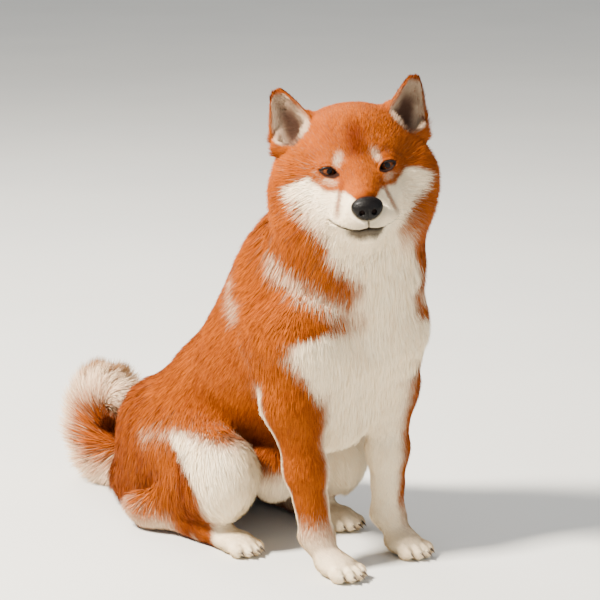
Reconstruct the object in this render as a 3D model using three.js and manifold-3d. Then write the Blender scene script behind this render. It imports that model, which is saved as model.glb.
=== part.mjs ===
// A sitting shiba inu, life size, as a still museum model in solids.
// The dog faces -Y, its left side is +X and +Z is up. Lengths are millimetres.
// The origin is on the floor, in the middle of the flat that the rump sits on.
// The solids reach out to the tips of the coat. The animal is one smooth field of rounded
// masses. The field is meshed, and thin cuts part it into the pieces a person would name.

import * as THREE from "three";
import { mergeVertices } from "three/addons/utils/BufferGeometryUtils.js";
import Module from "manifold-3d";

const wasm = await Module();
wasm.setup();

// Driving dimensions
const CUT = 0.5; // width of the thin cuts between parts
const FIT = 0.4; // clearance around an eye, the nose and each claw
const CELL = { trunk: 27, limb: 19, paw: 11, tail: 15, head: 15, muzzle: 11.5 }; // mesh steps
const CLAW = { length: 9, radius: 2.4 };
const COLOUR = { orange: 0xb9713a, cream: 0xe3d3bd, dark: 0x1d1a1b, iris: 0x3a2416 };
const RADIANS = Math.PI / 180;

// Places of the joints in the sitting pose
const HIP = { left: [44, 16, 100], right: [-44, 16, 100] };
const STIFLE = { left: [78, -132, 88], right: [-84, -134, 88] };
const HOCK = { left: [68, -36, 24], right: [-86, -36, 24] };
const HIND_TOE = { left: [66, -168, 12], right: [-81, -170, 12] };
const SHOULDER = { left: [55, -246, 240], right: [-58, -236, 240] };
const ELBOW = { left: [66, -238, 180], right: [-67, -240, 182] };
const WRIST = { left: [57, -250, 40], right: [-58, -266, 40] };
const FORE_TOE = { left: [57, -288, 12], right: [-58, -303, 12] };
const HEAD = { at: [5, -251, 431], yaw: -35, pitch: 0, roll: 5.5 };

// Small vector helpers on plain arrays
const add = (a, b) => [a[0] + b[0], a[1] + b[1], a[2] + b[2]];
const between = (a, b, t) => a.map((v, i) => v + (b[i] - v) * t);

// A smooth minimum: the two surfaces melt together over the blend length k.
function melt(a, b, k) {
  const h = Math.max(k - Math.abs(a - b), 0) / k;
  return Math.min(a, b) - (h * h * k) / 4;
}

// An ellipsoid of half sizes `size` at `at`, turned by Euler angles in degrees.
function ball(at, size, turn = [0, 0, 0], blend = 30) {
  const m = new THREE.Matrix4()
    .makeRotationFromEuler(
      new THREE.Euler(...turn.map((t) => t * RADIANS), "ZYX"),
    )
    .transpose().elements;
  const [a, b, c] = size;
  return {
    blend,
    field: (x, y, z) => {
      const dx = x - at[0];
      const dy = y - at[1];
      const dz = z - at[2];
      const u = (m[0] * dx + m[4] * dy + m[8] * dz) / a;
      const v = (m[1] * dx + m[5] * dy + m[9] * dz) / b;
      const w = (m[2] * dx + m[6] * dy + m[10] * dz) / c;
      const near = Math.hypot(u, v, w);
      const slope = Math.hypot(u / a, v / b, w / c);
      return slope < 1e-9 ? -Math.min(a, b, c) : (near * (near - 1)) / slope;
    },
  };
}

// A limb from p to q whose radius runs from rp to rq, flattened to `flat` times across X.
function limb(p, q, rp, rq, blend = 20, flat = 1) {
  const [ux, uy, uz] = q.map((v, i) => v - p[i]);
  const length2 = ux * ux + uy * uy + uz * uz;
  return {
    blend,
    field: (x, y, z) => {
      const dx = x - p[0];
      const dy = y - p[1];
      const dz = z - p[2];
      const t = Math.min(
        1,
        Math.max(0, (dx * ux + dy * uy + dz * uz) / length2),
      );
      const side = (dx - t * ux) / flat;
      return (
        Math.hypot(side, dy - t * uy, dz - t * uz) - (rp + (rq - rp) * t)
      );
    },
  };
}

function fieldOf(masses) {
  return (x, y, z) => {
    let d = masses[0].field(x, y, z);
    for (let i = 1; i < masses.length; i++)
      d = melt(d, masses[i].field(x, y, z), masses[i].blend);
    return d;
  };
}

// The trunk: rump, loin, ribs, brisket, breast and withers
function trunkMasses() {
  return [
    ball([0, 14, 62], [84, 84, 68]),
    ball([0, -42, 142], [76, 70, 80], [42, 0, 0], 40),
    ball([0, -132, 206], [82, 88, 114], [42, 0, 0], 40),
    ball([2, -206, 232], [88, 80, 88], [0, 0, 0], 40),
    ball([0, -160, 286], [60, 70, 66], [0, 0, 0], 40),
    ball([0, -215, 160], [50, 48, 44], [0, 0, 0], 30),
    ball([46, 42, 38], [40, 54, 44], [0, 0, 0], 24),
    ball([-46, 42, 38], [40, 54, 44], [0, 0, 0], 24),
    ball([-10, -138, 80], [34, 32, 38], [0, 0, 0], 22),
  ];
}

function neckMasses() {
  return [
    ball([18, -236, 346], [86, 66, 86], [0, 0, 0], 40),
    ball([8, -194, 318], [60, 72, 76], [0, 0, 0], 40),
    ball([38, -238, 296], [58, 52, 54], [0, 0, 0], 30),
  ];
}

const forePawAt = (side) => add(FORE_TOE[side], [side === "left" ? -3 : 3, -6, 0]);
const hindPawAt = (side) => add(HIND_TOE[side], [0, -2, -0.5]);
const HIND_GROW = 0.95; // size of a hind paw's toes beside a fore paw's

function foreLegMasses(side) {
  const elbow = ELBOW[side];
  const wrist = WRIST[side];
  const middle = between(elbow, wrist, 0.5);
  const toe = FORE_TOE[side];
  const paw = forePawAt(side);
  return [
    limb(SHOULDER[side], elbow, 46, 31, 36),
    limb(elbow, middle, 29, 22.5, 22),
    limb(middle, wrist, 22.5, 17, 12),
    limb(wrist, add(toe, [0, 22, 10]), 17, 14.5, 12),
    ball(add(paw, [0, 14, 1]), [20, 23, 14], [0, 0, 0], 12),
    ...toeMasses(paw, 1),
  ];
}

// Where the four toes of a paw lie, from the outside of one side to the other
const TOES = [-1.5, -0.5, 0.5, 1.5];
function toeAt(paw, toe, grow) {
  return add(paw, [toe * 9.8 * grow, (Math.abs(toe) > 1 ? -2 : -8) * grow, -3.2]);
}
function toeMasses(paw, grow) {
  const size = [6.5 * grow, 12.5 * grow, 9.5 * grow];
  return TOES.map((toe) => ball(toeAt(paw, toe, grow), size, [0, 0, toe * 5], 4));
}

function hindLegMasses(side) {
  const hock = HOCK[side];
  const stifle = STIFLE[side];
  const toe = HIND_TOE[side];
  return [
    limb(HIP[side], stifle, 58, 44, 34, 0.8),
    limb(add(stifle, [0, 8, -16]), add(hock, [0, -10, 12]), 42, 24, 26, 0.85),
    limb(hock, add(toe, [0, 40, 4]), 20, 17, 14),
    ball(add(hock, [side === "left" ? 16 : -16, 14, 0]), [18, 28, 20], [0, 0, 0], 20),
    ball(add(toe, [0, 12, 0]), [19.5, 26, 13.5], [0, 0, 0], 12),
    ...toeMasses(hindPawAt(side), HIND_GROW),
  ];
}

// The tail: one curl from the rump, back, up and over towards the loin
const TAIL = {
  centre: [-8, 146, 68],
  radius: 40,
  start: -150,
  turn: 290,
  lean: -14,
  thick: [26, 33, 33, 20],
};
function tailPoint(share) {
  const angle = (TAIL.start + TAIL.turn * share) * RADIANS;
  const { centre, radius, lean } = TAIL;
  return add(centre, [lean * share, radius * Math.cos(angle), radius * Math.sin(angle)]);
}
function tailThick(share) {
  const at = share * (TAIL.thick.length - 1);
  const low = Math.min(Math.floor(at), TAIL.thick.length - 2);
  return TAIL.thick[low] + (TAIL.thick[low + 1] - TAIL.thick[low]) * (at - low);
}
function tailMasses() {
  const steps = 9;
  const made = [];
  for (let i = 0; i < steps; i++) {
    const [a, b] = [i / steps, (i + 1) / steps];
    made.push(limb(tailPoint(a), tailPoint(b), tailThick(a), tailThick(b), 10));
  }
  return made;
}

// The head is made in its own frame: x to one side, y towards the nose and z up, from the
// centre of the skull at the height of the eyes. It is the same on both sides.
const headFrame = new THREE.Matrix4()
  .makeTranslation(...HEAD.at)
  .multiply(new THREE.Matrix4().makeRotationZ((HEAD.yaw + 180) * RADIANS))
  .multiply(new THREE.Matrix4().makeRotationX(HEAD.pitch * RADIANS))
  .multiply(new THREE.Matrix4().makeRotationY(HEAD.roll * RADIANS));
const intoHead = headFrame.clone().invert().elements;

const EYE = { at: [30.8, 31, -1.5], radius: 11 };
const NOSE = { at: [0, 101, -33], size: [16.2, 10, 12.3] };
const MOUTH_LINE = -55; // height of the cut between the muzzle and the lower jaw
const MUZZLE_LINE = 50; // how far forward the muzzle starts
// The ear stands on a flat at its root and leans outwards. Its blade starts `sunk` below the
// flat, and the hollow of its front is turned outwards by `faces` degrees.
const EAR = {
  root: [59.5, -14, 41.5],
  tip: [73, -8, 82.5],
  stands: [0.69, 0, 0.72],
  wide: 58,
  thick: 20,
  hollow: 11,
  sunk: 14,
  faces: -22,
};

function headMasses() {
  return [
    ball([0, -20, 8], [70, 60, 51], [0, 0, 0], 20),
    ball([0, 6, 14], [50, 28, 34], [0, 0, 0], 16),
    ball([48, -12, -24], [41, 42, 40], [0, 0, 0], 24),
    ball([34, -2, -52], [40, 42, 34], [0, 0, 0], 24),
    ball([25, 18, 14], [20, 15, 10], [0, 0, 0], 12),
    ball([46, 2, -16], [26, 24, 20], [0, 0, 0], 18),
    ball([0, 38, -32], [42, 36, 32], [0, 0, 0], 18),
    limb([0, 50, -34], [0, 88, -38], 34, 21.5, 14),
    limb([0, 30, -6], [0, 93, -24], 15, 9.5, 12),
    limb([0, 20, -56], [0, 80, -61], 26, 13.5, 12),
    ball([17, 76, -44], [18.5, 26, 14], [0, 0, 0], 10),
    ball(add(EAR.root, [1, 0, -8]), [29, 16, 13], [0, 46, 0], 14),
  ];
}

const headField = fieldOf(headMasses());
function headAt(x, y, z) {
  const e = intoHead;
  const hx = e[0] * x + e[4] * y + e[8] * z + e[12];
  const hy = e[1] * x + e[5] * y + e[9] * z + e[13];
  const hz = e[2] * x + e[6] * y + e[10] * z + e[14];
  return headField(Math.abs(hx), hy, hz);
}

const SIDES = ["left", "right"];
const bodyField = fieldOf([
  ...trunkMasses(),
  ...neckMasses(),
  ...SIDES.flatMap((side) => [...foreLegMasses(side), ...hindLegMasses(side)]),
]);
const tailField = fieldOf(tailMasses());
const dogField = (x, y, z) =>
  melt(melt(bodyField(x, y, z), tailField(x, y, z), 8), headAt(x, y, z), 36);

// The eight corners of a grid cell, and whether the surface crosses a cell in one sheet
const CORNERS = [];
for (let c = 0; c < 8; c++) CORNERS.push([c & 1, (c >> 1) & 1, (c >> 2) & 1]);
function inOnePiece(corners) {
  const reached = corners.slice(0, 1);
  for (const a of reached)
    for (const bit of [1, 2, 4]) {
      const b = a ^ bit;
      if (corners.includes(b) && !reached.includes(b)) reached.push(b);
    }
  return reached.length === corners.length;
}
const SINGLE_SHEET = [];
const chequered = (signs) =>
  [[1, 2], [2, 4], [4, 1]].some(([u, v]) =>
    CORNERS.some((_, c) => {
      if (c & (u | v)) return false;
      const on = [c, c | u, c | v, c | u | v].map((q) => (signs >> q) & 1);
      return on[0] === on[3] && on[1] === on[2] && on[0] !== on[1];
    }),
  );
for (let signs = 0; signs < 256; signs++) {
  const all = CORNERS.map((_, c) => c);
  const inside = all.filter((c) => signs & (1 << c));
  const outside = all.filter((c) => !(signs & (1 << c)));
  SINGLE_SHEET.push(inOnePiece(inside) && inOnePiece(outside) && !chequered(signs));
}

// Where two sheets cross one cell, its shallowest inner corner is let out, until one is left.
function untangle(values, [nx, ny, nz], id) {
  let tangled = true;
  while (tangled) {
    tangled = false;
    for (let k = 0; k < nz - 1; k++)
      for (let j = 0; j < ny - 1; j++)
        for (let i = 0; i < nx - 1; i++) {
          const at = CORNERS.map((c) => id(i + c[0], j + c[1], k + c[2]));
          const signs = at.reduce((sum, p, c) => sum + (values[p] < 0 ? 1 << c : 0), 0);
          if (SINGLE_SHEET[signs]) continue;
          const inner = at.filter((p) => values[p] < 0);
          values[inner.reduce((p, q) => (values[p] > values[q] ? p : q))] = 0.1;
          tangled = true;
        }
  }
}

// Surface nets: one vertex in each cell that the surface crosses, a quad for each crossed edge
function meshOf(field, low, high, cell) {
  const n = low.map((v, i) => Math.ceil((high[i] - v) / cell) + 1);
  const [nx, ny, nz] = n;
  const values = new Float32Array(nx * ny * nz);
  const id = (i, j, k) => i + nx * (j + ny * k);
  for (let k = 0; k < nz; k++)
    for (let j = 0; j < ny; j++)
      for (let i = 0; i < nx; i++) {
        const edge =
          i === 0 || j === 0 || k === 0 || i === nx - 1 || j === ny - 1 || k === nz - 1;
        const d = field(low[0] + i * cell, low[1] + j * cell, low[2] + k * cell);
        values[id(i, j, k)] = edge ? Math.max(d, cell * 0.5) : d;
      }
  untangle(values, n, id);
  const vertexOf = new Int32Array(values.length).fill(-1);
  const points = [];
  for (let k = 0; k < nz - 1; k++)
    for (let j = 0; j < ny - 1; j++)
      for (let i = 0; i < nx - 1; i++) {
        const v = CORNERS.map((c) => values[id(i + c[0], j + c[1], k + c[2])]);
        const sum = [0, 0, 0];
        let count = 0;
        for (let a = 0; a < 8; a++)
          for (const bit of [1, 2, 4]) {
            const b = a | bit;
            if (b === a || v[a] < 0 === v[b] < 0) continue;
            const t = v[a] / (v[a] - v[b]);
            for (let m = 0; m < 3; m++)
              sum[m] += CORNERS[a][m] + t * (CORNERS[b][m] - CORNERS[a][m]);
            count++;
          }
        if (!count) continue;
        vertexOf[id(i, j, k)] = points.length / 3;
        points.push(
          low[0] + cell * (i + sum[0] / count),
          low[1] + cell * (j + sum[1] / count),
          low[2] + cell * (k + sum[2] / count),
        );
      }
  settle(points, field, low, high, cell);
  const faces = [];
  const quad = (a, b, c, d, flip) => {
    const distance = (p, q) =>
      Math.hypot(...[0, 1, 2].map((m) => points[3 * p + m] - points[3 * q + m]));
    const [p, q, r, s] = flip ? [a, d, c, b] : [a, b, c, d];
    if (distance(p, r) < distance(q, s)) faces.push(p, q, r, p, r, s);
    else faces.push(p, q, s, q, r, s);
  };
  for (let k = 0; k < nz - 1; k++)
    for (let j = 0; j < ny - 1; j++)
      for (let i = 0; i < nx - 1; i++) {
        const here = values[id(i, j, k)] < 0;
        const at = (a, b, c) => vertexOf[id(a, b, c)];
        if (here !== values[id(i + 1, j, k)] < 0)
          quad(at(i, j - 1, k - 1), at(i, j, k - 1), at(i, j, k), at(i, j - 1, k), !here);
        if (here !== values[id(i, j + 1, k)] < 0)
          quad(at(i - 1, j, k - 1), at(i - 1, j, k), at(i, j, k), at(i, j, k - 1), !here);
        if (here !== values[id(i, j, k + 1)] < 0)
          quad(at(i - 1, j - 1, k), at(i, j - 1, k), at(i, j, k), at(i - 1, j, k), !here);
      }
  return solidOf(points, faces);
}

// Moves each vertex onto the surface along the field's slope, within half a cell.
function settle(points, field, low, high, cell) {
  const e = 0.5;
  for (let p = 0; p < points.length; p += 3) {
    const start = points.slice(p, p + 3);
    if (start.some((v, m) => v < low[m] + cell || v > high[m] - cell)) continue;
    for (let round = 0; round < 4; round++) {
      const [x, y, z] = points.slice(p, p + 3);
      const d = field(x, y, z);
      const g = [
        field(x + e, y, z) - field(x - e, y, z),
        field(x, y + e, z) - field(x, y - e, z),
        field(x, y, z + e) - field(x, y, z - e),
      ].map((v) => v / (2 * e));
      const slope = g[0] * g[0] + g[1] * g[1] + g[2] * g[2];
      if (slope < 0.05) break;
      for (let m = 0; m < 3; m++) {
        const moved = points[p + m] - (d * g[m]) / slope;
        points[p + m] = Math.min(
          start[m] + cell * 0.5,
          Math.max(start[m] - cell * 0.5, moved),
        );
      }
    }
  }
}

// manifold-3d solids from vertices and faces, or from a three.js geometry
function solidOf(points, faces) {
  return new wasm.Manifold(
    new wasm.Mesh({
      numProp: 3,
      vertProperties: new Float32Array(points),
      triVerts: new Uint32Array(faces),
    }),
  );
}
function solidFrom(geometry) {
  const bare = geometry.clone();
  bare.deleteAttribute("normal");
  bare.deleteAttribute("uv");
  const merged = mergeVertices(bare, 1e-3);
  return solidOf(merged.attributes.position.array, merged.index.array);
}
function geometryOf(solid) {
  const mesh = solid.getMesh();
  return new THREE.BufferGeometry()
    .setAttribute("position", new THREE.BufferAttribute(mesh.vertProperties, 3))
    .setIndex(new THREE.BufferAttribute(mesh.triVerts, 1));
}

// The space on the far side of every plane in a list. A plane is a place and the way it
// faces. A positive reach moves each plane out, so that the space grows.
const FAR = 900;
function beyond(planes, reach) {
  let space = null;
  for (const [at, way] of planes) {
    const facing = new THREE.Vector3(...way).normalize();
    const box = new THREE.BoxGeometry(FAR, FAR, FAR).translate(0, 0, FAR / 2 - reach);
    box.applyQuaternion(
      new THREE.Quaternion().setFromUnitVectors(new THREE.Vector3(0, 0, 1), facing),
    );
    box.translate(...at);
    const half = solidFrom(box);
    space = space ? space.intersect(half) : half;
  }
  return space;
}

// Planes given in the head's frame, carried into the dog's. `mirror` is 1 or -1.
function onHead(planes, mirror = 1) {
  return planes.map(([at, way]) => {
    const place = new THREE.Vector3(mirror * at[0], at[1], at[2]).applyMatrix4(headFrame);
    const facing = new THREE.Vector3(mirror * way[0], way[1], way[2]);
    return [place.toArray(), facing.transformDirection(headFrame).toArray()];
  });
}

const pieces = {};
// Takes what lies beyond the planes off a solid as a piece of its own, and gives the rest.
function partOff(solid, name, planes, colour = COLOUR.orange) {
  pieces[name] = { solid: largest(solid.intersect(beyond(planes, -CUT / 2))), colour };
  return solid.subtract(beyond(planes, CUT / 2));
}
function keep(solid, name, colour = COLOUR.orange) {
  pieces[name] = { solid: largest(solid), colour };
}

// A cut can leave crumbs beside the piece: only the largest body is kept.
function largest(solid) {
  const bodies = solid.decompose();
  return bodies.reduce((a, b) => (a.volume() > b.volume() ? a : b));
}

// Where the parts meet, as planes
const HEAD_PLANES = [[[0, -215, 386], [0, -0.5, 0.87]]];
const NECK_PLANES = [[[0, -190, 292], [0, -0.5, 0.87]]];
const RUMP_PLANES = [[[0, -34, 140], [0, 0.8, -0.6]]];
const BELLY_PLANES = [[[0, -150, 190], [0, 0.8, -0.6]]];
const TAIL_PLANES = [[[0, 104, 70], [0, 1, -0.15]]];
const KNEE_LINE = 62; // height of the cut between thigh and shank
const ANKLE = 30; // height of the cut between shank and foot
const ELBOW_LINE = 166;
const WRIST_LINE = 44;
const TOE_LINE = -126; // how far forward a hind paw starts

const outwards = (side) => (side === "left" ? 1 : -1);
const armPlanes = (side) => [
  [[outwards(side) * 50, 0, 0], [outwards(side), 0, 0]],
  [[0, -180, 0], [0, -1, 0]],
  [[0, 0, 262], [0, 0, -1]],
];
const thighPlanes = (side) => [
  [[outwards(side) * 46, 0, 0], [outwards(side), 0, 0]],
  [[0, 30, 80], [0, -1, -0.1]],
  [[0, -110, 160], [0, -0.5, -0.87]],
];
const foreLegPlanes = (side) => [
  [[outwards(side) * 28, 0, 0], [outwards(side), 0, 0]],
  [[0, -192, 0], [0, -1, 0]],
  [[0, 0, ELBOW_LINE], [0, 0, -1]],
];
const hindLegPlanes = (side) => [
  [[outwards(side) * 44, 0, 0], [outwards(side), 0, 0]],
  [[0, -4, 0], [0, -1, 0]],
  [[0, -100, KNEE_LINE], [0, 0.12, -1]],
];
const forePaw = (way) => [[[0, 0, WRIST_LINE], [0, 0, way]]];
const hindFoot = (way) => [[[0, -100, ANKLE], [0, way * 0.1, way]]];
const hindPaw = (way) => [[[0, TOE_LINE, 0], [0, -way, 0]]];

const floor = solidFrom(new THREE.BoxGeometry(FAR, FAR, FAR).translate(0, 0, -FAR / 2));

// The dog's surface between two corners of a box, at one mesh step, within some planes
function block(low, high, cell, planes) {
  const solid = meshOf(dogField, low, high, cell).subtract(floor);
  return planes ? solid.intersect(beyond(planes, -CUT / 2)) : solid;
}
// The same for a box that reaches from near the middle plane out to one side
function sideBlock(side, [near, back, under], [out, front, over], cell, planes) {
  const across = [outwards(side) * near, outwards(side) * out].sort((a, b) => a - b);
  return block([across[0], front, under], [across[1], back, over], cell, planes);
}

// The trunk
let trunk = block([-170, -340, -30], [170, 160, 470], CELL.trunk);
trunk = trunk.subtract(beyond(HEAD_PLANES, CUT / 2));
trunk = trunk.subtract(beyond(TAIL_PLANES, CUT / 2));
for (const side of SIDES) {
  trunk = trunk.subtract(beyond(foreLegPlanes(side), CUT / 2));
  trunk = trunk.subtract(beyond(hindLegPlanes(side), CUT / 2));
  trunk = partOff(trunk, `thigh_${side}`, thighPlanes(side));
  trunk = partOff(trunk, `upper_arm_${side}`, armPlanes(side));
}
trunk = partOff(trunk, "neck", NECK_PLANES);
trunk = partOff(trunk, "rump", RUMP_PLANES);
trunk = partOff(trunk, "belly", BELLY_PLANES);
keep(trunk, "chest", COLOUR.cream);

// A claw stands out of the front of a toe and bends down a little.
function clawFor(toe, grow, spare) {
  const cone = new THREE.ConeGeometry(CLAW.radius + spare, CLAW.length + spare, 6, 1);
  cone.translate(0, CLAW.length / 2, 0);
  const place = cone.attributes.position;
  for (let i = 0; i < place.count; i++) {
    const along = Math.max(0, place.getY(i)) / CLAW.length;
    place.setZ(i, place.getZ(i) + 1.5 * along * along);
  }
  cone.rotateX(190 * RADIANS);
  return solidFrom(cone.translate(...add(toe, [0, -8.5 * grow, 1])));
}
function pawWithClaws(foot, name, paw, grow) {
  TOES.forEach((toe, i) => {
    const at = toeAt(paw, toe, grow);
    foot = foot.subtract(clawFor(at, grow, FIT));
    keep(clawFor(at, grow, 0), `claw_${name}_${i + 1}`, COLOUR.dark);
  });
  keep(foot, `paw_${name}`, COLOUR.cream);
}

// The legs below the elbow and the knee
for (const side of SIDES) {
  const fore = foreLegPlanes(side);
  const foreUp = [...fore, ...forePaw(1)];
  keep(sideBlock(side, [14, -170, 20], [122, -330, 186], CELL.limb, foreUp), `forearm_${side}`);
  const foreDown = [...fore, ...forePaw(-1)];
  const forePad = sideBlock(side, [14, -200, -17], [104, -350, 62], CELL.paw, foreDown);
  pawWithClaws(forePad, `fore_${side}`, forePawAt(side), 1);

  const hind = hindLegPlanes(side);
  const hindUp = [...hind, ...hindFoot(1)];
  keep(sideBlock(side, [30, 20, 0], [136, -200, 90], CELL.limb, hindUp), `shank_${side}`);
  const hindDown = [...hind, ...hindFoot(-1)];
  const hockPlanes = [...hindDown, ...hindPaw(-1)];
  keep(sideBlock(side, [36, 16, -20], [130, -160, 60], CELL.limb, hockPlanes), `hock_${side}`);
  const padPlanes = [...hindDown, ...hindPaw(1)];
  const hindPad = sideBlock(side, [36, -90, -17], [130, -220, 50], CELL.paw, padPlanes);
  pawWithClaws(hindPad, `hind_${side}`, hindPawAt(side), HIND_GROW);
}

// The tail, in three lengths
let tail = block([-80, 60, -15], [60, 260, 180], CELL.tail, TAIL_PLANES);
const ringAt = (share) => {
  const here = tailPoint(share);
  const next = tailPoint(share + 0.01);
  return [here, next.map((v, i) => v - here[i])];
};
tail = partOff(tail, "tail_tip", [ringAt(0.66), [TAIL.centre, [0, -0.4, 1]]]);
tail = partOff(tail, "tail_middle", [ringAt(0.3), [TAIL.centre, [0, 1, 0.1]]]);
keep(tail, "tail_root");

// The head, with the muzzle ahead of a plane across the face
const headBox = [[-130, -400, 300], [150, -120, 530]];
const muzzlePlanes = (way) => onHead([[[0, MUZZLE_LINE, 0], [0, way, 0]]]);
let head = block(...headBox, CELL.head, [...HEAD_PLANES, ...muzzlePlanes(-1)]);
let muzzle = block(...headBox, CELL.muzzle, [...HEAD_PLANES, ...muzzlePlanes(1)]);
const mouth = [[[0, 0, MOUTH_LINE], [0, 0, -1]]];
muzzle = partOff(muzzle, "lower_jaw", onHead(mouth), COLOUR.cream);
const placeOnHead = (geometry) => solidFrom(geometry.applyMatrix4(headFrame));

function noseFor(spare) {
  const nose = new THREE.SphereGeometry(1, 12, 7);
  nose.scale(...NOSE.size.map((v) => v + spare));
  const place = nose.attributes.position;
  for (let i = 0; i < place.count; i++) {
    const z = place.getZ(i) / NOSE.size[2];
    place.setX(i, place.getX(i) * (1 + 0.18 * z));
  }
  return placeOnHead(nose.translate(...NOSE.at));
}
keep(muzzle.subtract(noseFor(FIT)), "muzzle", COLOUR.cream);
keep(noseFor(0), "nose", COLOUR.dark);

// A pointed ear: rounded sections up the blade, hollowed at the front
function earFor(mirror) {
  const rise = new THREE.Vector3(...EAR.tip).sub(new THREE.Vector3(...EAR.root));
  const height = rise.length() + EAR.sunk;
  const ear = new THREE.CylinderGeometry(1, 1, height, 14, 7);
  ear.translate(0, height / 2 - EAR.sunk, 0);
  const place = ear.attributes.position;
  for (let i = 0; i < place.count; i++) {
    const up = Math.min(1, Math.max(0, (place.getY(i) + EAR.sunk) / height));
    const wide = (EAR.wide / 2) * Math.pow(1 - up, 0.65) * (1 - 0.1 * up) + 2.5;
    const thick = (EAR.thick / 2) * (1 - 0.75 * up) + 0.5;
    const side = place.getX(i);
    const front = place.getZ(i);
    const hollow = EAR.hollow * Math.pow(1 - up, 0.6) * (1 - side * side) * Math.max(0, front);
    place.setX(i, side * wide);
    place.setZ(i, front * thick - hollow);
  }
  ear.rotateX(90 * RADIANS);
  ear.rotateZ((180 + EAR.faces) * RADIANS);
  ear.applyQuaternion(
    new THREE.Quaternion().setFromUnitVectors(new THREE.Vector3(0, 0, 1), rise.normalize()),
  );
  ear.translate(...EAR.root);
  if (mirror < 0) {
    ear.scale(-1, 1, 1);
    ear.index.array.reverse();
  }
  return placeOnHead(ear);
}
for (const side of SIDES) {
  const mirror = -outwards(side); // the head's own x runs to the dog's right
  const root = onHead([[EAR.root, EAR.stands]], mirror);
  head = head.subtract(beyond(root, CUT / 2));
  keep(earFor(mirror).intersect(beyond(root, -CUT / 2)), `ear_${side}`);

  const eyeAt = [mirror * EYE.at[0], EYE.at[1], EYE.at[2]];
  const eyeBall = (grow) =>
    placeOnHead(new THREE.SphereGeometry(EYE.radius + grow, 12, 8).translate(...eyeAt));
  head = head.subtract(eyeBall(FIT));
  keep(eyeBall(0), `eye_${side}`, COLOUR.iris);
}
keep(head, "head");

const dog = new THREE.Group();
for (const [name, { solid, colour }] of Object.entries(pieces)) {
  const glossy = /eye|nose|claw/.test(name);
  const material = new THREE.MeshStandardMaterial({
    color: colour,
    roughness: glossy ? 0.25 : 0.9,
    metalness: 0,
  });
  const mesh = new THREE.Mesh(geometryOf(solid), material);
  mesh.name = name;
  dog.add(mesh);
}
export default dog;
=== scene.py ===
"""A sitting shiba inu as a life-size museum model: one skin, a coat of small tufts, and the head.

The dog faces -Y, its left side is +X and +Z is up. The shape is one field of rounded masses, in
millimetres, and the meshes are made in metres. Points of one half of the head are in the head's
axes, with x at its size without sign.
"""

from __future__ import annotations

import logging
import math
from dataclasses import dataclass, field
from enum import Enum
from typing import Callable

import bmesh
import bpy
import numpy as np
from bpy.types import Material, Mesh, Node, NodeSocket, NodeTree, Object
from mathutils import Matrix, Vector

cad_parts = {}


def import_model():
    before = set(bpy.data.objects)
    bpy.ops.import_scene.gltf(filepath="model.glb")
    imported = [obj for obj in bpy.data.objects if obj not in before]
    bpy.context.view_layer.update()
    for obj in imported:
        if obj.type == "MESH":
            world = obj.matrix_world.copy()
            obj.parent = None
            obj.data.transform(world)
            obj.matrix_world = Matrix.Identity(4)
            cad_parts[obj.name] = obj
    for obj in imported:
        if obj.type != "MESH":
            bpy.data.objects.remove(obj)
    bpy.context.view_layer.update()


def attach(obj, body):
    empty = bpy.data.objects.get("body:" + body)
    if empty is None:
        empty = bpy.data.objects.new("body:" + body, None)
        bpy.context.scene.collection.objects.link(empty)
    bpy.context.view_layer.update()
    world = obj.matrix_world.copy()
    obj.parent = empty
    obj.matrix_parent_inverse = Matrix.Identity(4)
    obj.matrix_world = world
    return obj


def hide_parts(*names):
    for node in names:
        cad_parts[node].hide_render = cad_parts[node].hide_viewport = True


LOG = logging.getLogger("dog")
MM = 0.001
TINY = 1e-9
FAR = 1e9
SAME_PLACE = 1e-6
Array = np.ndarray
Vec = tuple[float, float, float]
Span = tuple[float, float]
Row = tuple[float, ...]
Colour = tuple[float, float, float, float]
Field = Callable[[Array], Array]
SIDES = ("left", "right")


# Small numeric helpers
def smooth(low: float | Array, high: float | Array, x: Array) -> Array:
    """Runs from 0 at low to 1 at high with level ends; low may be above high."""
    t = np.clip((x - low) / (high - low), 0.0, 1.0)
    return t * t * (3.0 - 2.0 * t)


def numbers(v: object) -> Array:
    """Numbers of single precision."""
    return np.array(v, np.float32)


def melt(a: Array, b: Array, k: float) -> Array:
    """The smaller of two distances, with the two surfaces melted together over k."""
    h = np.maximum(k - np.abs(a - b), 0.0) / k
    return np.minimum(a, b) - h * h * (k * 0.25)


def unit(v: Array) -> Array:
    """Rows of v at length 1."""
    return v / np.maximum(np.linalg.norm(v, axis=-1, keepdims=True), TINY)


def turn_about(axis: str, degrees: float) -> Array:
    """The 3 x 3 matrix of a turn about x, y or z."""
    return numbers(Matrix.Rotation(math.radians(degrees), 3, axis))


def ripple(p: Array, size: float, seed: float) -> Array:
    """A slow wave through space, from -1 to 1.

    Args:
        p: points in millimetres.
        size: the length of the waves.
        seed: shifts the pattern.

    Returns:
        One value for each point.
    """
    q = p / size
    a = np.sin(q[:, 0] * 2.1 + 1.7 * np.sin(q[:, 1] * 1.3 + seed) + seed)
    b = np.sin(q[:, 1] * 2.4 + 1.9 * np.sin(q[:, 2] * 1.1 + 2.0 * seed) + 1.3)
    c = np.sin(q[:, 2] * 1.9 + 1.6 * np.sin(q[:, 0] * 1.5 - seed) + 2.6)
    return (a + b + c) / 3.0


def line_distance(p: Array, points: tuple[Vec, ...]) -> Array:
    """How far each point is from a line through the given places.

    Args:
        p: points in millimetres.
        points: the places that the line joins.

    Returns:
        Distances in millimetres.
    """
    best = np.full(len(p), FAR, np.float32)
    for a, b in zip(points[:-1], points[1:]):
        start = numbers(a)
        way = numbers(b) - start
        t = np.clip((p - start) @ way / max(float(way @ way), TINY), 0.0, 1.0)
        best = np.minimum(best, np.linalg.norm(p - start - t[:, None] * way, axis=1))
    return best


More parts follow.
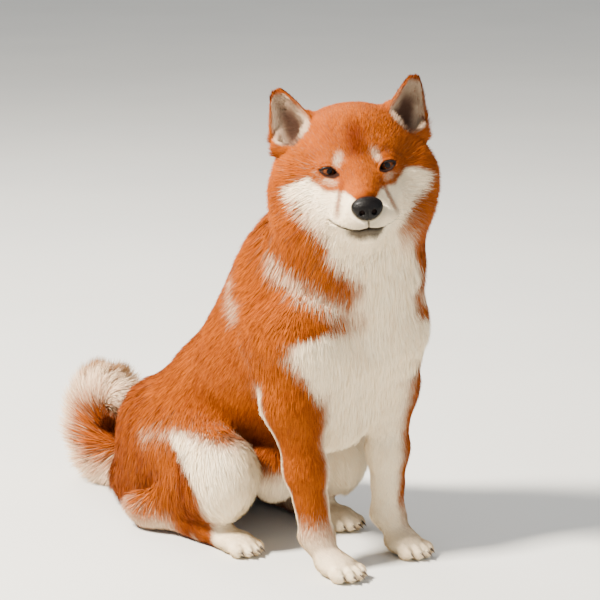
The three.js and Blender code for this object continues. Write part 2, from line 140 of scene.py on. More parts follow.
# The masses of the body
@dataclass(frozen=True)
class Ball:
    """An ellipsoid of half sizes `size`, turned by `turn` degrees."""

    at: Vec
    size: Vec
    turn: Vec = (0.0, 0.0, 0.0)
    blend: float = 30.0

    def measure(self, p: Array) -> Array:
        """Distance to the ellipsoid, below 0 inside.

        Args:
            p: points in millimetres.

        Returns:
            Distances in millimetres.
        """
        d = p - numbers(self.at)
        if any(self.turn):
            x, y, z = self.turn
            d = d @ (turn_about("Z", z) @ turn_about("Y", y) @ turn_about("X", x))
        size = numbers(self.size)
        q = d / size
        near = np.sqrt((q * q).sum(1))
        q /= size
        slope = np.sqrt((q * q).sum(1))
        return near * (near - 1.0) / np.maximum(slope, TINY)


@dataclass(frozen=True)
class Limb:
    """A limb from p to q whose radius runs from rp to rq, `flat` times as wide across X."""

    p: Vec
    q: Vec
    rp: float
    rq: float
    blend: float = 20.0
    flat: float = 1.0

    def measure(self, points: Array) -> Array:
        """Distance to the limb, below 0 inside.

        Args:
            points: points in millimetres.

        Returns:
            Distances in millimetres.
        """
        p, q = numbers(self.p), numbers(self.q)
        way = q - p
        d = points - p
        t = np.clip(d @ way / float(way @ way), 0.0, 1.0)
        off = d - t[:, None] * way
        off[:, 0] /= self.flat
        return np.sqrt((off * off).sum(1)) - (self.rp + (self.rq - self.rp) * t)


def plus(a: Vec, b: Vec) -> Vec:
    """The sum of two places."""
    return (a[0] + b[0], a[1] + b[1], a[2] + b[2])


def pair(left: object, right: object) -> dict[str, object]:
    """A dataclass field with a value for each side of the dog."""
    return field(default_factory=lambda: {"left": left, "right": right})


def middle(a: Vec, b: Vec) -> Vec:
    """The place half way between two."""
    return tuple((u + v) / 2 for u, v in zip(a, b))


@dataclass(frozen=True)
class HeadFrame:
    """The head's own axes: x to the dog's right, y to the nose, z up from the eyes' height."""

    at: Vec = (5.0, -251.0, 431.0)
    yaw: float = -35.0
    roll: float = 5.5

    @property
    def axes(self) -> Array:
        """The head's axes as columns."""
        return turn_about("Z", self.yaw + 180.0) @ turn_about("Y", self.roll)

    def into(self, p: Array) -> Array:
        """Points of the dog, seen from the head."""
        return (p - numbers(self.at)) @ self.axes

    def out(self, p: Array) -> Array:
        """Points of the head, placed on the dog."""
        return p @ self.axes.T + numbers(self.at)

    def way(self, v: Array) -> Array:
        """Directions of the head, turned into the dog's."""
        return v @ self.axes.T


@dataclass(frozen=True)
class EyeShape:
    """One eyeball and the opening of its lids, for the side on the head's +x."""

    at: Vec = (30.8, 31.0, -1.5)
    radius: float = 11.0
    half: float = 8.9
    upper: float = 4.3
    lower: float = 4.0
    tilt: float = 13.0

    def opening(self, local: Array) -> Array:
        """How far points lie outside the opening as the face is seen from in front.

        Args:
            local: points of one half of the head.

        Returns:
            Distances in millimetres, below 0 inside the opening.
        """
        c, s = math.cos(math.radians(self.tilt)), math.sin(math.radians(self.tilt))
        dx, dz = local[:, 0] - self.at[0], local[:, 2] - self.at[2]
        q, r = dx * c + dz * s, dz * c - dx * s
        qc = np.clip(q / self.half, -1.0, 1.0)
        arch = (1.0 - qc * qc) ** 0.85
        inner = np.maximum(r - self.upper * arch, -r - self.lower * arch) * 0.9
        beyond = np.maximum(np.abs(q) - self.half, 0.0)
        return np.where(beyond > 0, np.hypot(beyond, np.maximum(inner, 0.0)), inner)

    def ball(self, local: Array) -> Array:
        """Distance to the eye's middle."""
        return np.linalg.norm(local - numbers(self.at), axis=1)


@dataclass(frozen=True)
class EarShape:
    """One ear as a bent blade, for the side on the head's +x."""

    root: Vec = (59.5, -14.0, 41.5)
    tip: Vec = (73.0, -8.0, 82.5)
    wide: float = 57.0
    hollow: float = 9.5
    thick: float = 3.1
    sunk: float = 14.0
    faces: float = -22.0
    cup_size: Vec = (19.0, 13.0, 30.0)
    cup_at: Vec = (0.0, 9.5, 8.0)
    cup_scale: float = 12.0

    def axes(self) -> tuple[Array, Array, Array, float]:
        """The ear's side, front and rise directions, and the length of its rise.

        Returns:
            Three directions of length 1, and a length.
        """
        rise = numbers(self.tip) - numbers(self.root)
        length = float(np.linalg.norm(rise))
        turn = Vector((0, 0, 1)).rotation_difference(Vector(rise / length)).to_matrix()
        turn = numbers(turn)
        a = math.radians(180 + self.faces)
        side = turn @ numbers((math.cos(a), math.sin(a), 0))
        front = turn @ numbers((math.sin(a), -math.cos(a), 0))
        return side, front, rise / length, length

    def places(self, local: Array) -> tuple[Array, Array, Array, Array]:
        """Where points lie on the ear.

        Args:
            local: points of one half of the head.

        Returns:
            Across, in front of the blade's middle, up from 0 to 1, and the half width there.
        """
        side, front, rise, length = self.axes()
        d = local - numbers(self.root)
        u, w, v = d @ side, d @ front, d @ rise
        up = np.clip((v + self.sunk) / (length + self.sunk), 0.0, 1.0)
        half = self.wide / 2 * (1 - up) ** 0.62 * (1 - 0.1 * up) + 1.8
        s = np.clip(u / half, -1.0, 1.0)
        bend = -self.hollow * (1 - up) ** 0.7 * (1 - s * s) + 3.0 * (1 - up)
        return u, w - bend, up, half

    def cup(self, local: Array) -> Array:
        """Distance to the hollow in front of the ear's foot, below 0 inside.

        Args:
            local: points of one half of the head.

        Returns:
            Distances in millimetres.
        """
        side, front, rise, _ = self.axes()
        d = local - numbers(self.root)
        away = np.stack([d @ side, d @ front, d @ rise], 1) - numbers(self.cup_at)
        away /= numbers(self.cup_size)
        return self.cup_scale * (np.linalg.norm(away, axis=1) - 1)

    def measure(self, local: Array) -> Array:
        """Distance to the ear, below 0 inside.

        Args:
            local: points of one half of the head.

        Returns:
            Distances in millimetres.
        """
        _, _, rise, length = self.axes()
        v = (local - numbers(self.root)) @ rise
        u, w, up, half = self.places(local)
        h = self.thick * (1 - 0.45 * up)
        e = np.maximum(np.abs(u) - (half - h), 0.0)
        over = np.maximum(v - (length - 4.0), 0.0) + np.maximum(-10.0 - v, 0.0)
        return np.sqrt(e * e + over * over + w * w) - h


@dataclass(frozen=True)
class NoseShape:
    """The nose pad in the head's axes."""

    at: Vec = (0.0, 101.0, -33.0)
    size: Vec = (16.2, 10.0, 12.3)

    def measure(self, local: Array) -> Array:
        """Distance to the pad's smooth outline.

        Args:
            local: points of one half of the head.

        Returns:
            Distances in millimetres.
        """
        d = local - numbers(self.at)
        d[:, 0] /= 1.0 + 0.18 * np.clip(d[:, 2] / self.size[2], -1, 1)
        return Ball((0, 0, 0), self.size).measure(d)


@dataclass(frozen=True)
class Mouth:
    """The line of the closed mouth, in the head's axes with x at its size without sign."""

    across: Row = (0, 8, 16, 24, 33, 41)
    height: Row = (-54, -56, -56, -53.5, -49.5, -45.5)
    corner: Span = (38, 34)
    rear: Span = (22, 34)

    def gap(self, local: Array) -> Array:
        """Height above the mouth's line."""
        return local[:, 2] - np.interp(local[:, 0], self.across, self.height)

    def reach(self, local: Array) -> Array:
        """1 along the mouth's line and 0 beyond its corners."""
        return smooth(*self.corner, local[:, 0]) * smooth(*self.rear, local[:, 1])


@dataclass(frozen=True)
class TailShape:
    """The curl of the tail, as a turn in the plane of Y and Z."""

    centre: Vec = (-8.0, 146.0, 68.0)
    radius: float = 40.0
    start: float = -150.0
    turn: float = 290.0
    lean: float = -14.0
    thick: Row = (26.0, 33.0, 33.0, 20.0)
    steps: int = 9

    def point(self, share: float) -> Vec:
        """The place at a share from 0 to 1 of the way along the tail."""
        a, r = math.radians(self.start + self.turn * share), self.radius
        return plus(self.centre, (self.lean * share, r * math.cos(a), r * math.sin(a)))

    def masses(self) -> list[Limb]:
        """The tail as short lengths of limb.

        Returns:
            One limb for each length.
        """
        marks = [i / self.steps for i in range(self.steps + 1)]
        thick = [float(np.interp(m, (0, 1 / 3, 2 / 3, 1), self.thick)) for m in marks]
        at = [self.point(m) for m in marks]
        return [Limb(at[i], at[i + 1], thick[i], thick[i + 1], 10) for i in range(self.steps)]

    def lie(self, p: Array) -> tuple[Array, Array, Array]:
        """How the tail runs at each point: along it, away from its curl's middle, and how far.

        Args:
            p: points in millimetres.

        Returns:
            Two rows of directions, and distances.
        """
        d = p - numbers(self.centre)
        away = d * numbers((0.35, 1.0, 1.0))
        far = np.hypot(d[:, 1], d[:, 2])
        along = np.stack([np.zeros(len(p)), -d[:, 2], d[:, 1]], 1)
        return unit(along), unit(away), far


class Zone(Enum):
    """The parts of the dog that set the coat's lie and the pieces of the coat."""

    TRUNK = "trunk"
    NECK = "neck"
    FORE_LEFT = "fore_left"
    FORE_RIGHT = "fore_right"
    HIND_LEFT = "hind_left"
    HIND_RIGHT = "hind_right"
    TAIL = "tail"
    HEAD = "head"
    EAR = "ear"


@dataclass
class DogForm:
    """The whole dog as one field, out to the tips of the coat."""

    head: HeadFrame = field(default_factory=HeadFrame)
    eye: EyeShape = field(default_factory=EyeShape)
    ear: EarShape = field(default_factory=EarShape)
    nose: NoseShape = field(default_factory=NoseShape)
    mouth: Mouth = field(default_factory=Mouth)
    tail: TailShape = field(default_factory=TailShape)
    hip: Vec = (44, 16, 100)
    stifle: dict[str, Vec] = pair((78, -132, 88), (-84, -134, 88))
    hock: dict[str, Vec] = pair((68, -36, 24), (-86, -36, 24))
    hind_toe: dict[str, Vec] = pair((66, -168, 12), (-81, -170, 12))
    shoulder: dict[str, Vec] = pair((55, -246, 240), (-58, -236, 240))
    elbow: dict[str, Vec] = pair((66, -238, 180), (-67, -240, 182))
    wrist: dict[str, Vec] = pair((57, -250, 40), (-58, -266, 40))
    fore_toe: dict[str, Vec] = pair((57, -288, 12), (-58, -303, 12))
    toes: Vec = (-1.5, -0.5, 0.5, 1.5)
    toe_step: float = 9.8
    hind_grow: float = 0.95

    def fore_paw(self, side: str) -> Vec:
        """The middle of a fore paw."""
        return plus(self.fore_toe[side], (-3 if side == "left" else 3, -6, 0))

    def hind_paw(self, side: str) -> Vec:
        """The middle of a hind paw."""
        return plus(self.hind_toe[side], (0, -2, -0.5))

    def toe_at(self, paw: Vec, toe: float, grow: float) -> Vec:
        """The middle of one toe."""
        forward = (-2 if abs(toe) > 1 else -8) * grow
        return plus(paw, (toe * self.toe_step * grow, forward, -3.2))

    def toe_masses(self, paw: Vec, grow: float) -> list[Ball]:
        """The four toes of a paw."""
        size = (6.5 * grow, 12.5 * grow, 9.5 * grow)
        return [Ball(self.toe_at(paw, t, grow), size, (0, 0, t * 5), 4) for t in self.toes]

    def trunk_masses(self) -> list[Ball]:
        """Rump, loin, ribs, brisket, breast and withers.

        Returns:
            The masses, in the order in which they melt together.
        """
        return [
            Ball((0, 14, 62), (84, 84, 68)),
            Ball((0, -42, 142), (76, 70, 80), (42, 0, 0), 40),
            Ball((0, -132, 206), (82, 88, 114), (42, 0, 0), 40),
            Ball((2, -206, 232), (88, 80, 88), blend=40),
            Ball((0, -160, 286), (60, 70, 66), blend=40),
            Ball((0, -215, 160), (50, 48, 44)),
            Ball((46, 42, 38), (40, 54, 44), blend=24),
            Ball((-46, 42, 38), (40, 54, 44), blend=24),
            Ball((-10, -138, 80), (34, 32, 38), blend=22),
        ]

    def fore_masses(self, side: str) -> list[Ball | Limb]:
        """One fore leg with its paw.

        Args:
            side: left or right.

        Returns:
            The masses, from the shoulder down.
        """
        elbow, wrist, toe = self.elbow[side], self.wrist[side], self.fore_toe[side]
        half, paw = middle(elbow, wrist), self.fore_paw(side)
        return [
            Limb(self.shoulder[side], elbow, 46, 31, 36),
            Limb(elbow, half, 29, 22.5, 22),
            Limb(half, wrist, 22.5, 17, 12),
            Limb(wrist, plus(toe, (0, 22, 10)), 17, 14.5, 12),
            Ball(plus(paw, (0, 14, 1)), (20, 23, 14), blend=12),
            *self.toe_masses(paw, 1.0),
        ]

    def hind_masses(self, side: str) -> list[Ball | Limb]:
        """One hind leg with its paw.

        Args:
            side: left or right.

        Returns:
            The masses, from the hip down.
        """
        hock, stifle, toe = self.hock[side], self.stifle[side], self.hind_toe[side]
        hip = (self.hip[0] * (1 if side == "left" else -1), *self.hip[1:])
        return [
            Limb(hip, stifle, 58, 44, 34, 0.8),
            Limb(plus(stifle, (0, 8, -16)), plus(hock, (0, -10, 12)), 42, 24, 26, 0.85),
            Limb(hock, plus(toe, (0, 40, 4)), 20, 17, 14),
            Ball(plus(hock, (16 if side == "left" else -16, 14, 0)), (18, 28, 20), blend=20),
            Ball(plus(toe, (0, 12, 0)), (19.5, 26, 13.5), blend=12),
            *self.toe_masses(self.hind_paw(side), self.hind_grow),
        ]

    def head_masses(self) -> list[Ball | Limb]:
        """One half of the head, which is the same on both sides.

        Returns:
            The masses, in the order in which they melt together.
        """
        return [
            Ball((0, -20, 8), (70, 60, 51), blend=20),
            Ball((0, 6, 14), (50, 28, 34), blend=16),
            Ball((48, -12, -24), (41, 42, 40), blend=24),
            Ball((34, -2, -52), (40, 42, 34), blend=24),
            Ball((25, 18, 14), (20, 15, 10), blend=12),
            Ball((46, 2, -16), (26, 24, 20), blend=18),
            Ball((0, 38, -32), (42, 36, 32), blend=18),
            Limb((0, 50, -34), (0, 88, -38), 34, 21.5, 14),
            Limb((0, 30, -6), (0, 93, -24), 15, 9.5, 12),
            Limb((0, 20, -56), (0, 80, -61), 26, 13.5, 12),
            Ball((17, 76, -44), (18.5, 26, 14), blend=10),
            Ball(plus(self.ear.root, (1, 0, -8)), (29, 16, 13), (0, 46, 0), 14),
        ]

    def __post_init__(self) -> None:
        """Lays out the masses zone by zone, in the order in which they melt together."""
        neck = [
            Ball((18, -236, 346), (86, 66, 86), blend=40),
            Ball((8, -194, 318), (60, 72, 76), blend=40),
            Ball((38, -238, 296), (58, 52, 54), blend=30),
        ]
        self.body: list[tuple[Zone, list[Ball | Limb]]] = [
            (Zone.TRUNK, self.trunk_masses()),
            (Zone.NECK, neck),
            (Zone.FORE_LEFT, self.fore_masses("left")),
            (Zone.HIND_LEFT, self.hind_masses("left")),
            (Zone.FORE_RIGHT, self.fore_masses("right")),
            (Zone.HIND_RIGHT, self.hind_masses("right")),
        ]
        self.head_parts = self.head_masses()
        self.tail_parts = self.tail.masses()

    def measure(self, p: Array) -> tuple[Array, dict[Zone, Array]]:
        """Distance to the tips of the coat.

        Args:
            p: points in millimetres.

        Returns:
            The distance, and the distance to each zone alone.
        """
        zones: dict[Zone, Array] = {}
        total = None
        for zone, masses in self.body:
            own = None
            for mass in masses:
                d = mass.measure(p)
                own = d if own is None else np.minimum(own, d)
                total = d if total is None else melt(total, d, mass.blend)
            zones[zone] = own
        tail = self.tail_parts[0].measure(p)
        for mass in self.tail_parts[1:]:
            tail = melt(tail, mass.measure(p), mass.blend)
        local = self.near_head(p)
        head = self.head_parts[0].measure(local)
        for mass in self.head_parts[1:]:
            head = melt(head, mass.measure(local), mass.blend)
        zones[Zone.TAIL], zones[Zone.HEAD] = tail, head
        zones[Zone.EAR] = self.ear.measure(local)
        return melt(melt(total, tail, 8), head, 36), zones

    def near_head(self, p: Array) -> Array:
        """The same points on one half of the head."""
        x, y, z = self.head.into(p).T
        return np.stack([np.abs(x), y, z], 1).astype(np.float32)


# The coat: how long it is and how it lies in each place
@dataclass(frozen=True)
class Pelt:
    """One kind of coat: millimetres, and tufts for each square millimetre."""

    depth: float
    length: float
    width: float
    density: float
    scatter: float


class Kind(Enum):
    """The kinds of coat on the dog."""

    TRUNK = Pelt(4.6, 15.0, 0.75, 1.55, 0.12)
    NECK = Pelt(7.0, 22.0, 0.85, 1.50, 0.14)
    CHEST = Pelt(6.5, 21.0, 0.9, 1.45, 0.18)
    HAUNCH = Pelt(5.0, 16.0, 0.8, 1.50, 0.12)
    PANTS = Pelt(9.0, 27.0, 1.0, 1.20, 0.20)
    LEG = Pelt(2.4, 9.0, 0.62, 1.90, 0.10)
    PAW = Pelt(1.5, 5.5, 0.5, 2.40, 0.12)
    TAIL = Pelt(15.0, 34.0, 1.0, 2.10, 0.22)
    FACE = Pelt(1.5, 5.0, 0.42, 4.20, 0.10)
    CROWN = Pelt(2.4, 8.5, 0.55, 2.60, 0.10)
    CHEEK = Pelt(5.0, 15.0, 0.7, 2.00, 0.14)
    EAR = Pelt(1.0, 4.5, 0.42, 3.00, 0.14)


KINDS = list(Kind)


@dataclass(frozen=True)
class Streak:
    """A band of colour along a line on the coat."""

    points: tuple[Vec, ...]
    half: float
    soft: float
    strength: float = 1.0

    def cover(self, p: Array) -> Array:
        """How much of the band's colour each point has."""
        d = line_distance(p, self.points)
        return self.strength * smooth(self.half + self.soft / 2, self.half - self.soft / 2, d)


@dataclass(frozen=True)
class Patch:
    """A patch of colour: the spans over which it fades in, two of them along z, and its strength."""

    x: Span | None = None
    y: Span | None = None
    z: Span | None = None
    top: Span | None = None
    strength: float = 1.0

    def cover(self, p: Array) -> Array:
        """How much of the patch's colour each point has; x counts without its sign.

        Args:
            p: points in millimetres.

        Returns:
            Values from 0 to the patch's strength.
        """
        x, y, z = p.T
        fades = ((self.x, np.abs(x)), (self.y, y), (self.z, z), (self.top, z))
        return self.strength * math.prod(smooth(*span, v) for span, v in fades if span)


@dataclass(frozen=True)
class EarMarks:
    """The pale inside of the ears, with the brown hollow in its middle; the dark on the inside, in the
    hollow and in the cup at the ear's foot is painted shade.
    """

    ear: EarShape
    face: Span = (-0.5, 1.0)
    side: Span = (0.93, 0.72)
    tip: Span = (0.97, 0.84)
    hollow_side: Span = (0.62, 0.1)
    hollow_top: Span = (0.74, 0.4)
    cup_edge: Span = (3.6, 1.4)
    deep_side: Span = (16, 5)
    cream: float = 0.55
    back_rust: float = 0.35
    inside_rust: float = 0.2
    hollow_rust: float = 0.6
    # Painted shade on the ear's inside, deeper in its hollow and cup.
    inside_shade: float = 0.25
    hollow_shade: float = 0.5

    def cover(self, local: Array) -> tuple[Array, Array, Array, Array]:
        """Where the parts of the ear lie.

        Args:
            local: points of one half of the head.

        Returns:
            The inside of the blade, the hollow in it, the cup at its foot and the cup's middle.
        """
        u, w, up, half = self.ear.places(local)
        front, across = smooth(*self.face, w), np.abs(u) / half
        inside = front * smooth(*self.side, across) * smooth(*self.tip, up)
        hollow = smooth(*self.hollow_side, across) * smooth(*self.hollow_top, up) * front
        cup = smooth(*self.cup_edge, self.ear.cup(local))
        return inside, hollow, cup, cup * smooth(*self.deep_side, np.abs(u))


@dataclass(frozen=True)
class HeadMarks:
    """The markings of the face, in the head's axes with x at its size without sign."""

    form: DogForm
    top_across: Row = (0, 8, 13, 18, 24, 36, 46, 54, 62, 80, 95)
    top_height: Row = (-27, -26, -22, -19, -18, -20, -14, -8, -9, -19, -30)
    top_soft: float = 4.0
    side_height: Row = (-95, -78, -53, -18, 0)
    side_across: Row = (38, 43, 65, 79, 82)
    side_soft: float = 8.0
    rear_height: Row = (-90, -50, -10)
    rear_depth: Row = (-34, -14, 4)
    rear_soft: float = 9.0
    left_less: float = 14.0
    left_height: Span = (-28, -56)
    front: Span = (15, 25)
    brow_at: Span = (20, 11)
    brow_size: Span = (5.5, 8.5)
    brow_lean: float = 0.3
    brow_edge: Span = (1.7, 0.1)
    brow_strength: float = 0.4
    lid_at: Span = (31, -10.5)
    lid_across: float = 2.2
    lid_edge: Span = (6.5, 1)
    lid_strength: float = 0.27
    tear_height: Span = (-46, -10)
    tear_across: Span = (33, 20)
    tear_edge: Span = (3.6, 0.8)
    tear_ends: Patch = Patch(z=(-48, -34), top=(-4, -10))
    tear_less_white: float = 0.55
    tear_rust: float = 0.5
    streak: Patch = Patch((18, 1), z=(4, 20), top=(54, 34), strength=0.85)
    face: Span = (8, 20)
    rim_edge: Span = (2.4, 0.9)
    rim_front: Span = (24, 30)
    lip_half: float = 2.0
    lip_soft: float = 0.8
    lip_corner: Span = (12, 20)
    lip_dark: float = 0.95
    nose_rim: Span = (1.9, 0.6)
    nose_rim_dark: float = 0.7
    nose_under: Span = (0.3, -0.8)
    low_lip: Patch = Patch((27, 16), (60, 70), (-16, -8), (1, -1), 0.9)
    # Painted shade under the nose, above the mouth's line.
    shadow: Patch = Patch((22, 8), (72, 88), (16, 3), (-1, 1), 0.34)
    parting: Patch = Patch((1.6, 0.7), (85, 95), (-56, -52), (-42, -45), 0.8)

    def tear(self, local: Array) -> Array:
        """The line that runs down from the eye's inner corner.

        Args:
            local: points of one half of the head.

        Returns:
            1 on the line and 0 away from it.
        """
        a, _, z = local.T
        crease = np.interp(z, self.tear_height, self.tear_across)
        return smooth(*self.tear_edge, np.abs(a - crease)) * self.tear_ends.cover(local)

    def cream(self, local: Array, left: Array) -> Array:
        """The white of the cheeks and the muzzle, and the pale spots over and under the eyes.

        Args:
            local: points of one half of the head.
            left: 1 on the dog's left, where the white is narrower, and 0 on its right.

        Returns:
            How white each point is.
        """
        a, y, z = local.T
        top = np.interp(a, self.top_across, self.top_height)
        out = np.interp(z, self.side_height, self.side_across)
        out -= self.left_less * left * smooth(*self.left_height, z)
        start = np.interp(z, self.rear_height, self.rear_depth)
        white = smooth(top + self.top_soft, top - self.top_soft, z)
        white = white * smooth(out + self.side_soft, out - self.side_soft, a)
        white = white * smooth(start - self.rear_soft, start + self.rear_soft, y)
        front = smooth(*self.front, y)
        across, up = self.brow_at
        lean = a - across + self.brow_lean * (z - up)
        brow = np.hypot(lean / self.brow_size[0], (z - up) / self.brow_size[1])
        brow = smooth(*self.brow_edge, brow) * front
        across, up = self.lid_at
        lid = smooth(*self.lid_edge, np.hypot((a - across) / self.lid_across, z - up))
        lid = lid * front * self.lid_strength
        return np.maximum(np.maximum(white, self.brow_strength * brow), lid)

    def dark(self, local: Array) -> Array:
        """The black of the lids, the lips, the nose's rim and the line below it, and painted shade under
        the nose.

        Args:
            local: points of one half of the head.

        Returns:
            How dark each point is.
        """
        a, y, _ = local.T
        mouth = self.form.mouth
        gap, pad = mouth.gap(local), self.form.nose.measure(local)
        lid = smooth(*self.rim_edge, self.form.eye.opening(local)) * smooth(*self.rim_front, y)
        half = self.lip_half + smooth(*self.lip_corner, a)
        lip = smooth(half + self.lip_soft, half - self.lip_soft, np.abs(gap)) * mouth.reach(local)
        lip_places = np.stack([a, y, gap], 1)
        return np.maximum.reduce([
            lid, self.lip_dark * lip, self.nose_rim_dark * smooth(*self.nose_rim, pad),
            smooth(*self.nose_under, pad), self.parting.cover(local),
            self.low_lip.cover(lip_places), self.shadow.cover(lip_places),
        ])


@dataclass(frozen=True)
class BreastMarks:
    """The white of the throat and breast, with the bands beside it."""

    middle_height: Row = (150, 240, 320)
    middle_across: Row = (0, 6, 26)
    edge_height: Row = (120, 148, 170, 203, 229, 250, 262, 285, 300, 334, 360, 400)
    edge_across: Row = (40, 45, 58, 78, 98, 100, 48, 36, 46, 74, 80, 84)
    left_height: Row = (262, 290, 310, 330, 370, 400)
    left_across: Row = (90, 62, 42, 26, 24, 34)
    soft: float = 11.0
    front: Span = (-190, -226)
    near: Span = (8, -8)
    notch_height: float = 262.0
    notch_slope: float = 0.12
    notch_from: float = 10.0
    notch_edge: Span = (18, 3)
    notch_side: Span = (4, 34)
    notch_depth: float = 0.75
    orange_strength: float = 0.95
    band_front: Span = (-168, -200)
    cream: Streak = Streak(
        ((-74, -176, 336), (-74, -209, 315), (-68, -251, 298), (-49, -275, 283), (-5, -286, 261)),
        8, 28, 0.74,
    )
    orange: Streak = Streak(
        ((-66, -160, 352), (-68, -211, 339), (-66, -248, 326), (-47, -274, 311), (-24, -287, 300)),
        10, 22, 0.95,
    )

    def white(self, p: Array) -> Array:
        """How white the throat and breast are.

        Args:
            p: points in millimetres.

        Returns:
            Values from 0 to 1.
        """
        x, y, z = p.T
        mid = np.interp(z, self.middle_height, self.middle_across).astype(np.float32)
        s = np.abs(x - mid)
        q = np.stack([mid - s, y, z], 1)
        edge = np.interp(z, self.edge_height, self.edge_across)
        left = np.interp(z, self.left_height, self.left_across)
        edge = np.where(x > mid, np.minimum(edge, left), edge)
        bib = smooth(edge + self.soft, edge - self.soft, s) * smooth(*self.front, y)
        near = smooth(*self.near, x - mid)
        rise = np.abs(z - self.notch_height - self.notch_slope * (s - self.notch_from))
        notch = smooth(*self.notch_edge, rise) * smooth(*self.notch_side, s)
        bib *= 1 - notch * self.notch_depth * near
        band = self.cream.cover(q) * smooth(*self.band_front, y)
        return np.maximum(bib * (1 - self.orange_strength * near * self.orange.cover(q)), band)


@dataclass(frozen=True)
class LegMarks:
    """The white of the legs, and the streaks on shoulder and thigh, drawn on the right side."""

    form: DogForm
    behind: dict[str, float] = pair(88.0, 120.0)
    behind_soft: float = 32.0
    inner_side: Span = (-8, -42)
    paw: Span = (78, 2)
    top: Span = (205, 180)
    axis_height: Row = (0, 44, 180)
    axis_forward: float = 6.0
    knee_height: Row = (8, 30, 64, 85, 104, 118)
    knee_edge: Row = (-104, -138, -146, -134, -98, -60)
    knee_top_at: Row = (-190, -155, -95, -30)
    knee_top: Row = (118, 121, 122, 112)
    knee_soft: float = 12.0
    knee_top_soft: float = 11.0
    toes: Span = (-128, -146)
    foot_height: Span = (34, 22)
    foot_front: Span = (-100, -112)
    shoulder: Streak = Streak(((-61, -115, 292), (-73, -134, 272), (-80, -150, 259)), 11, 32, 0.38)
    arm: Streak = Streak(((-85, -163, 248), (-90, -188, 215), (-92, -212, 180)), 6, 26, 0.12)
    thigh_arc: Streak = Streak(((-96, -16, 104), (-100, -45, 112), (-104, -91, 117)), 5, 34, 0.4)
    thigh_rust: Streak = Streak(
        ((-118, -112, 96), (-118, -116, 70), (-112, -113, 40), (-98, -96, 10)), 8, 26, 0.8
    )
    pants_pale: Streak = Streak(((-104, -60, 6), (-112, -18, 14), (-104, 40, 24)), 14, 40, 0.62)

    def fore(self, p: Array, side: str) -> Array:
        """The white of one fore leg: behind, inside and on the paw.

        Args:
            p: points in millimetres.
            side: left or right.

        Returns:
            How white each point is.
        """
        x, y, z = p.T
        form, out = self.form, 1 if side == "left" else -1
        toe, wrist, elbow = form.fore_toe[side], form.wrist[side], form.elbow[side]
        ax = np.interp(z, (toe[2], wrist[2], elbow[2]), (toe[0], wrist[0], elbow[0]))
        ay = np.interp(z, self.axis_height, (wrist[1] - self.axis_forward, wrist[1], elbow[1]))
        angle = np.degrees(np.arctan2(-(y - ay), out * (x - ax)))
        last, soft = self.behind[side], self.behind_soft
        inner = smooth(last - soft, last + soft, angle) + smooth(*self.inner_side, angle)
        return np.clip(np.maximum(inner, smooth(*self.paw, z)), 0, 1) * smooth(*self.top, z)

    def hind(self, q: Array) -> Array:
        """The white of the knee, the foot and the bands beside them.

        Args:
            q: points in millimetres, all moved to the dog's right.

        Returns:
            How white each point is.
        """
        _, y, z = q.T
        edge = np.interp(z, self.knee_height, self.knee_edge)
        top = np.interp(y, self.knee_top_at, self.knee_top)
        knee = smooth(edge + self.knee_soft, edge - self.knee_soft, y)
        knee = knee * smooth(top + self.knee_top_soft, top - self.knee_top_soft, z)
        foot = smooth(*self.foot_height, z) * smooth(*self.foot_front, y)
        knee = knee * (1 - foot) + smooth(*self.toes, y) * foot
        return np.maximum(knee, np.maximum(self.thigh_arc.cover(q), self.pants_pale.cover(q)))


